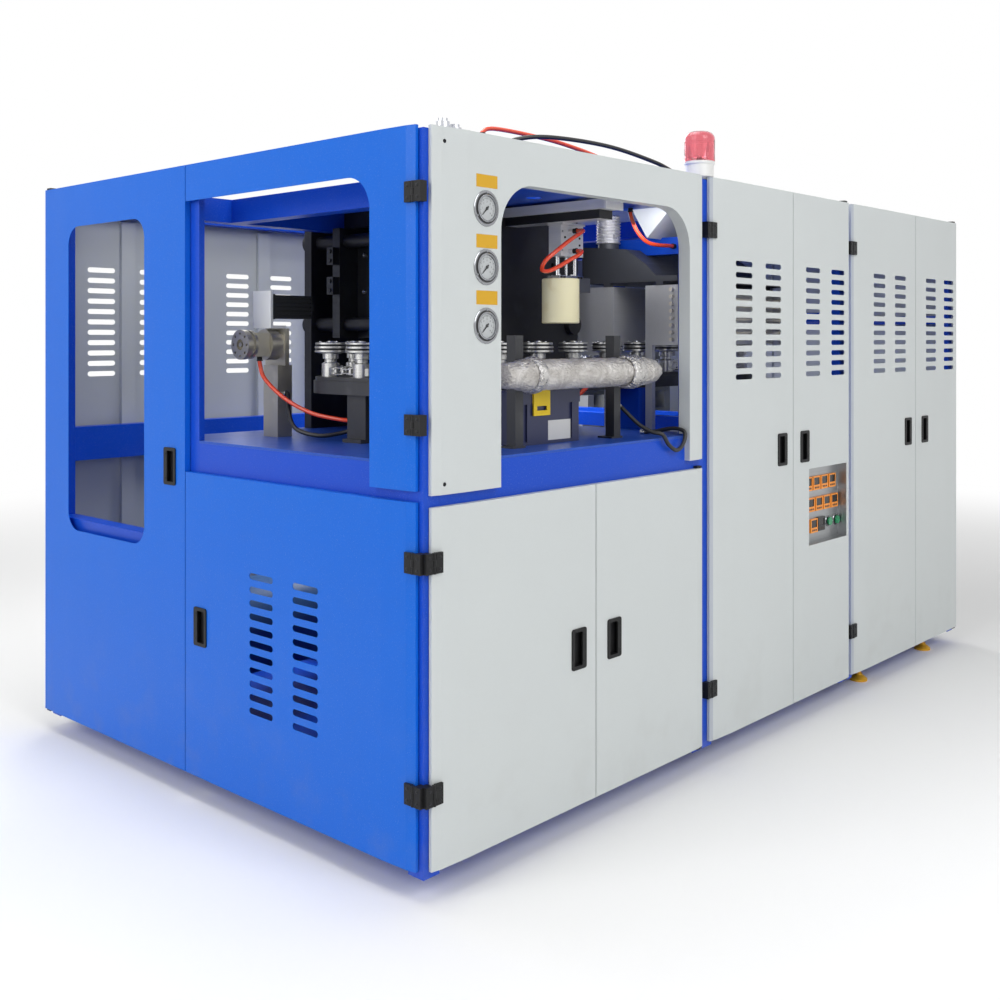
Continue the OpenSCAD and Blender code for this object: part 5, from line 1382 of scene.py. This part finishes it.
@dataclass(frozen=True)
class ServiceLines:
    """Red air tubes and black cables, swept along their routes, with the fittings at their ends."""

    radius: float = 0.007
    step: float = 9.0
    nut: tuple[Pair, ...] = ((9.0, 0.0), (9.0, 9.0), (8.2, 10.0), (10.5, 10.6), (10.5, 14.0), (9.4, 15.0),
                             (7.1, 15.0))
    tubes: tuple[tuple[Point, ...], ...] = (
        ((222, 1030, 1366.6), (223, 1029, 1340), (232, 1012, 1290), (262, 940, 1225), (300, 850, 1180),
         (336, 750, 1162), (342, 715, 1160), (342, 690.4, 1160)),
        ((1000, 295.6, 1798), (1000, 272, 1798), (984, 242, 1795), (935, 220, 1780), (870, 210, 1752),
         (810, 210, 1718), (768, 224, 1684), (772, 246, 1656), (812, 256, 1650), (870, 256, 1668),
         (925, 250, 1694), (968, 244, 1714), (994, 256, 1726), (1000, 272, 1729), (1000, 295.6, 1729)),
        ((470, 230, 2045.4), (470, 230, 2060), (520, 236, 2080), (680, 240, 2084), (860, 225, 2072),
         (1060, 205, 2038), (1200, 195, 1985), (1260, 190, 1940), (1262, 190, 1906)),
        ((1268, 250, 1896.5), (1268, 250, 1878), (1276, 245, 1845), (1300, 232, 1800), (1350, 220, 1772),
         (1460, 212, 1770), (1491.6, 212, 1770)),
        ((1028, 167.1, 1340), (1028, 186, 1340), (1000, 205, 1295), (955, 220, 1250), (900, 225, 1226),
         (873.4, 225, 1226)),
    )
    cables: tuple[tuple[Point, ...], ...] = (
        ((492, 230, 2008), (515, 230, 2010), (580, 190, 2048), (700, 150, 2066), (950, 112, 2064),
         (1180, 84, 2034), (1290, 68, 2004), (1350, 58, 1999.6)),
        ((300, 999.2, 1240), (300, 978, 1240), (265, 925, 1180), (245, 860, 1130), (275, 780, 1110),
         (335, 735, 1118), (354, 712, 1128), (356, 691, 1130)),
        ((1046.8, 148, 1200), (1064, 148, 1200), (1084, 85, 1140), (1100, 40, 1114), (1118, 10, 1106),
         (1146, 3, 1070), (1192, 2, 1048), (1234, 4, 1066), (1252, 10, 1106), (1252, 60, 1116),
         (1236, 130, 1102), (1215, 170, 1099.8)),
    )

    def ends(self, routes: Sequence[Sequence[Point]]) -> tuple[list[Point], list[Point]]:
        """Each route's two ends, with the direction in which it leaves them."""
        points, ways = [], []
        for route in routes:
            for first, second in ((route[0], route[1]), (route[-1], route[-2])):
                points.append(first)
                ways.append(tuple((Vector(second) - Vector(first)).normalized()))
        return points, ways

    def build(self, shop: Shop) -> None:
        """Sweeps the lines and sets their end fittings."""
        for name, routes, slot, node in (("Red_Air_Tubes", self.tubes, "tube_red", "red_tubes"),
                                         ("Black_Cables", self.cables, "cable_black", "black_cables")):
            seed = path_seed([spline(route, self.step) for route in routes])
            grown = shop.sleeve.grow(name, seed, Radius=self.radius, Sides=16, Rib_pitch=0.01,
                                     Rib_height=0.0, Material=shop.palette[slot])
            shop.add(grown, MACHINE, slot, replaces=[node])
        for name, routes, finish in (("Tube_Push_Fittings", self.tubes, "black_fittings"),
                                     ("Cable_Glands", self.cables, "screw_zinc")):
            shop.set_studs(name, Form().lathe(self.nut, sides=14), *self.ends(routes), MACHINE, "cable_black", finish)


@dataclass(frozen=True)
class Services:
    """Valves, filters, tank, transformer box and switchgear."""

    plate: tuple[Point, Point] = ((713.0, 169.2, 1103.0), (826.0, 170.2, 1166.0))
    plate_bevel: float = 0.3

    def build(self, shop: Shop) -> None:
        """Dresses the services and adds the box's bare plate."""
        shop.dress("valve_silver", "valve_bank")
        shop.dress("tank_blue", "air_receiver")
        shop.dress("navy_paint", "transformer_box")
        shop.dress("switchgear_grey", "switchgear")
        form = Form().block(*self.plate, self.plate_bevel)
        shop.add(form.done("Transformer_Bare_Plate"), MACHINE, "navy_paint", "label_pale")


def main() -> None:
    """Builds the studio and the machine's sub-assemblies in order."""
    logging.basicConfig(level=logging.INFO, format="%(name)s: %(message)s")
    bpy.context.scene.view_settings.view_transform = "Standard"
    studio = Studio()
    studio.camera()
    studio.surroundings()
    studio.light()
    studio.floor()
    shop = Shop()
    for assembly in (ServiceLines(), SheetCovers(), DoorFurniture(), PressureGauges(), ControlPanel(), Beacon(),
                     LaggedPipe(), MandrelLine(), ClampStation(), LoaderStation(), DriveUnit(), HeaterTunnel(),
                     Services()):
        assembly.build(shop)
        log.info("%s done", type(assembly).__name__)


if __name__ == "__main__":
    main()
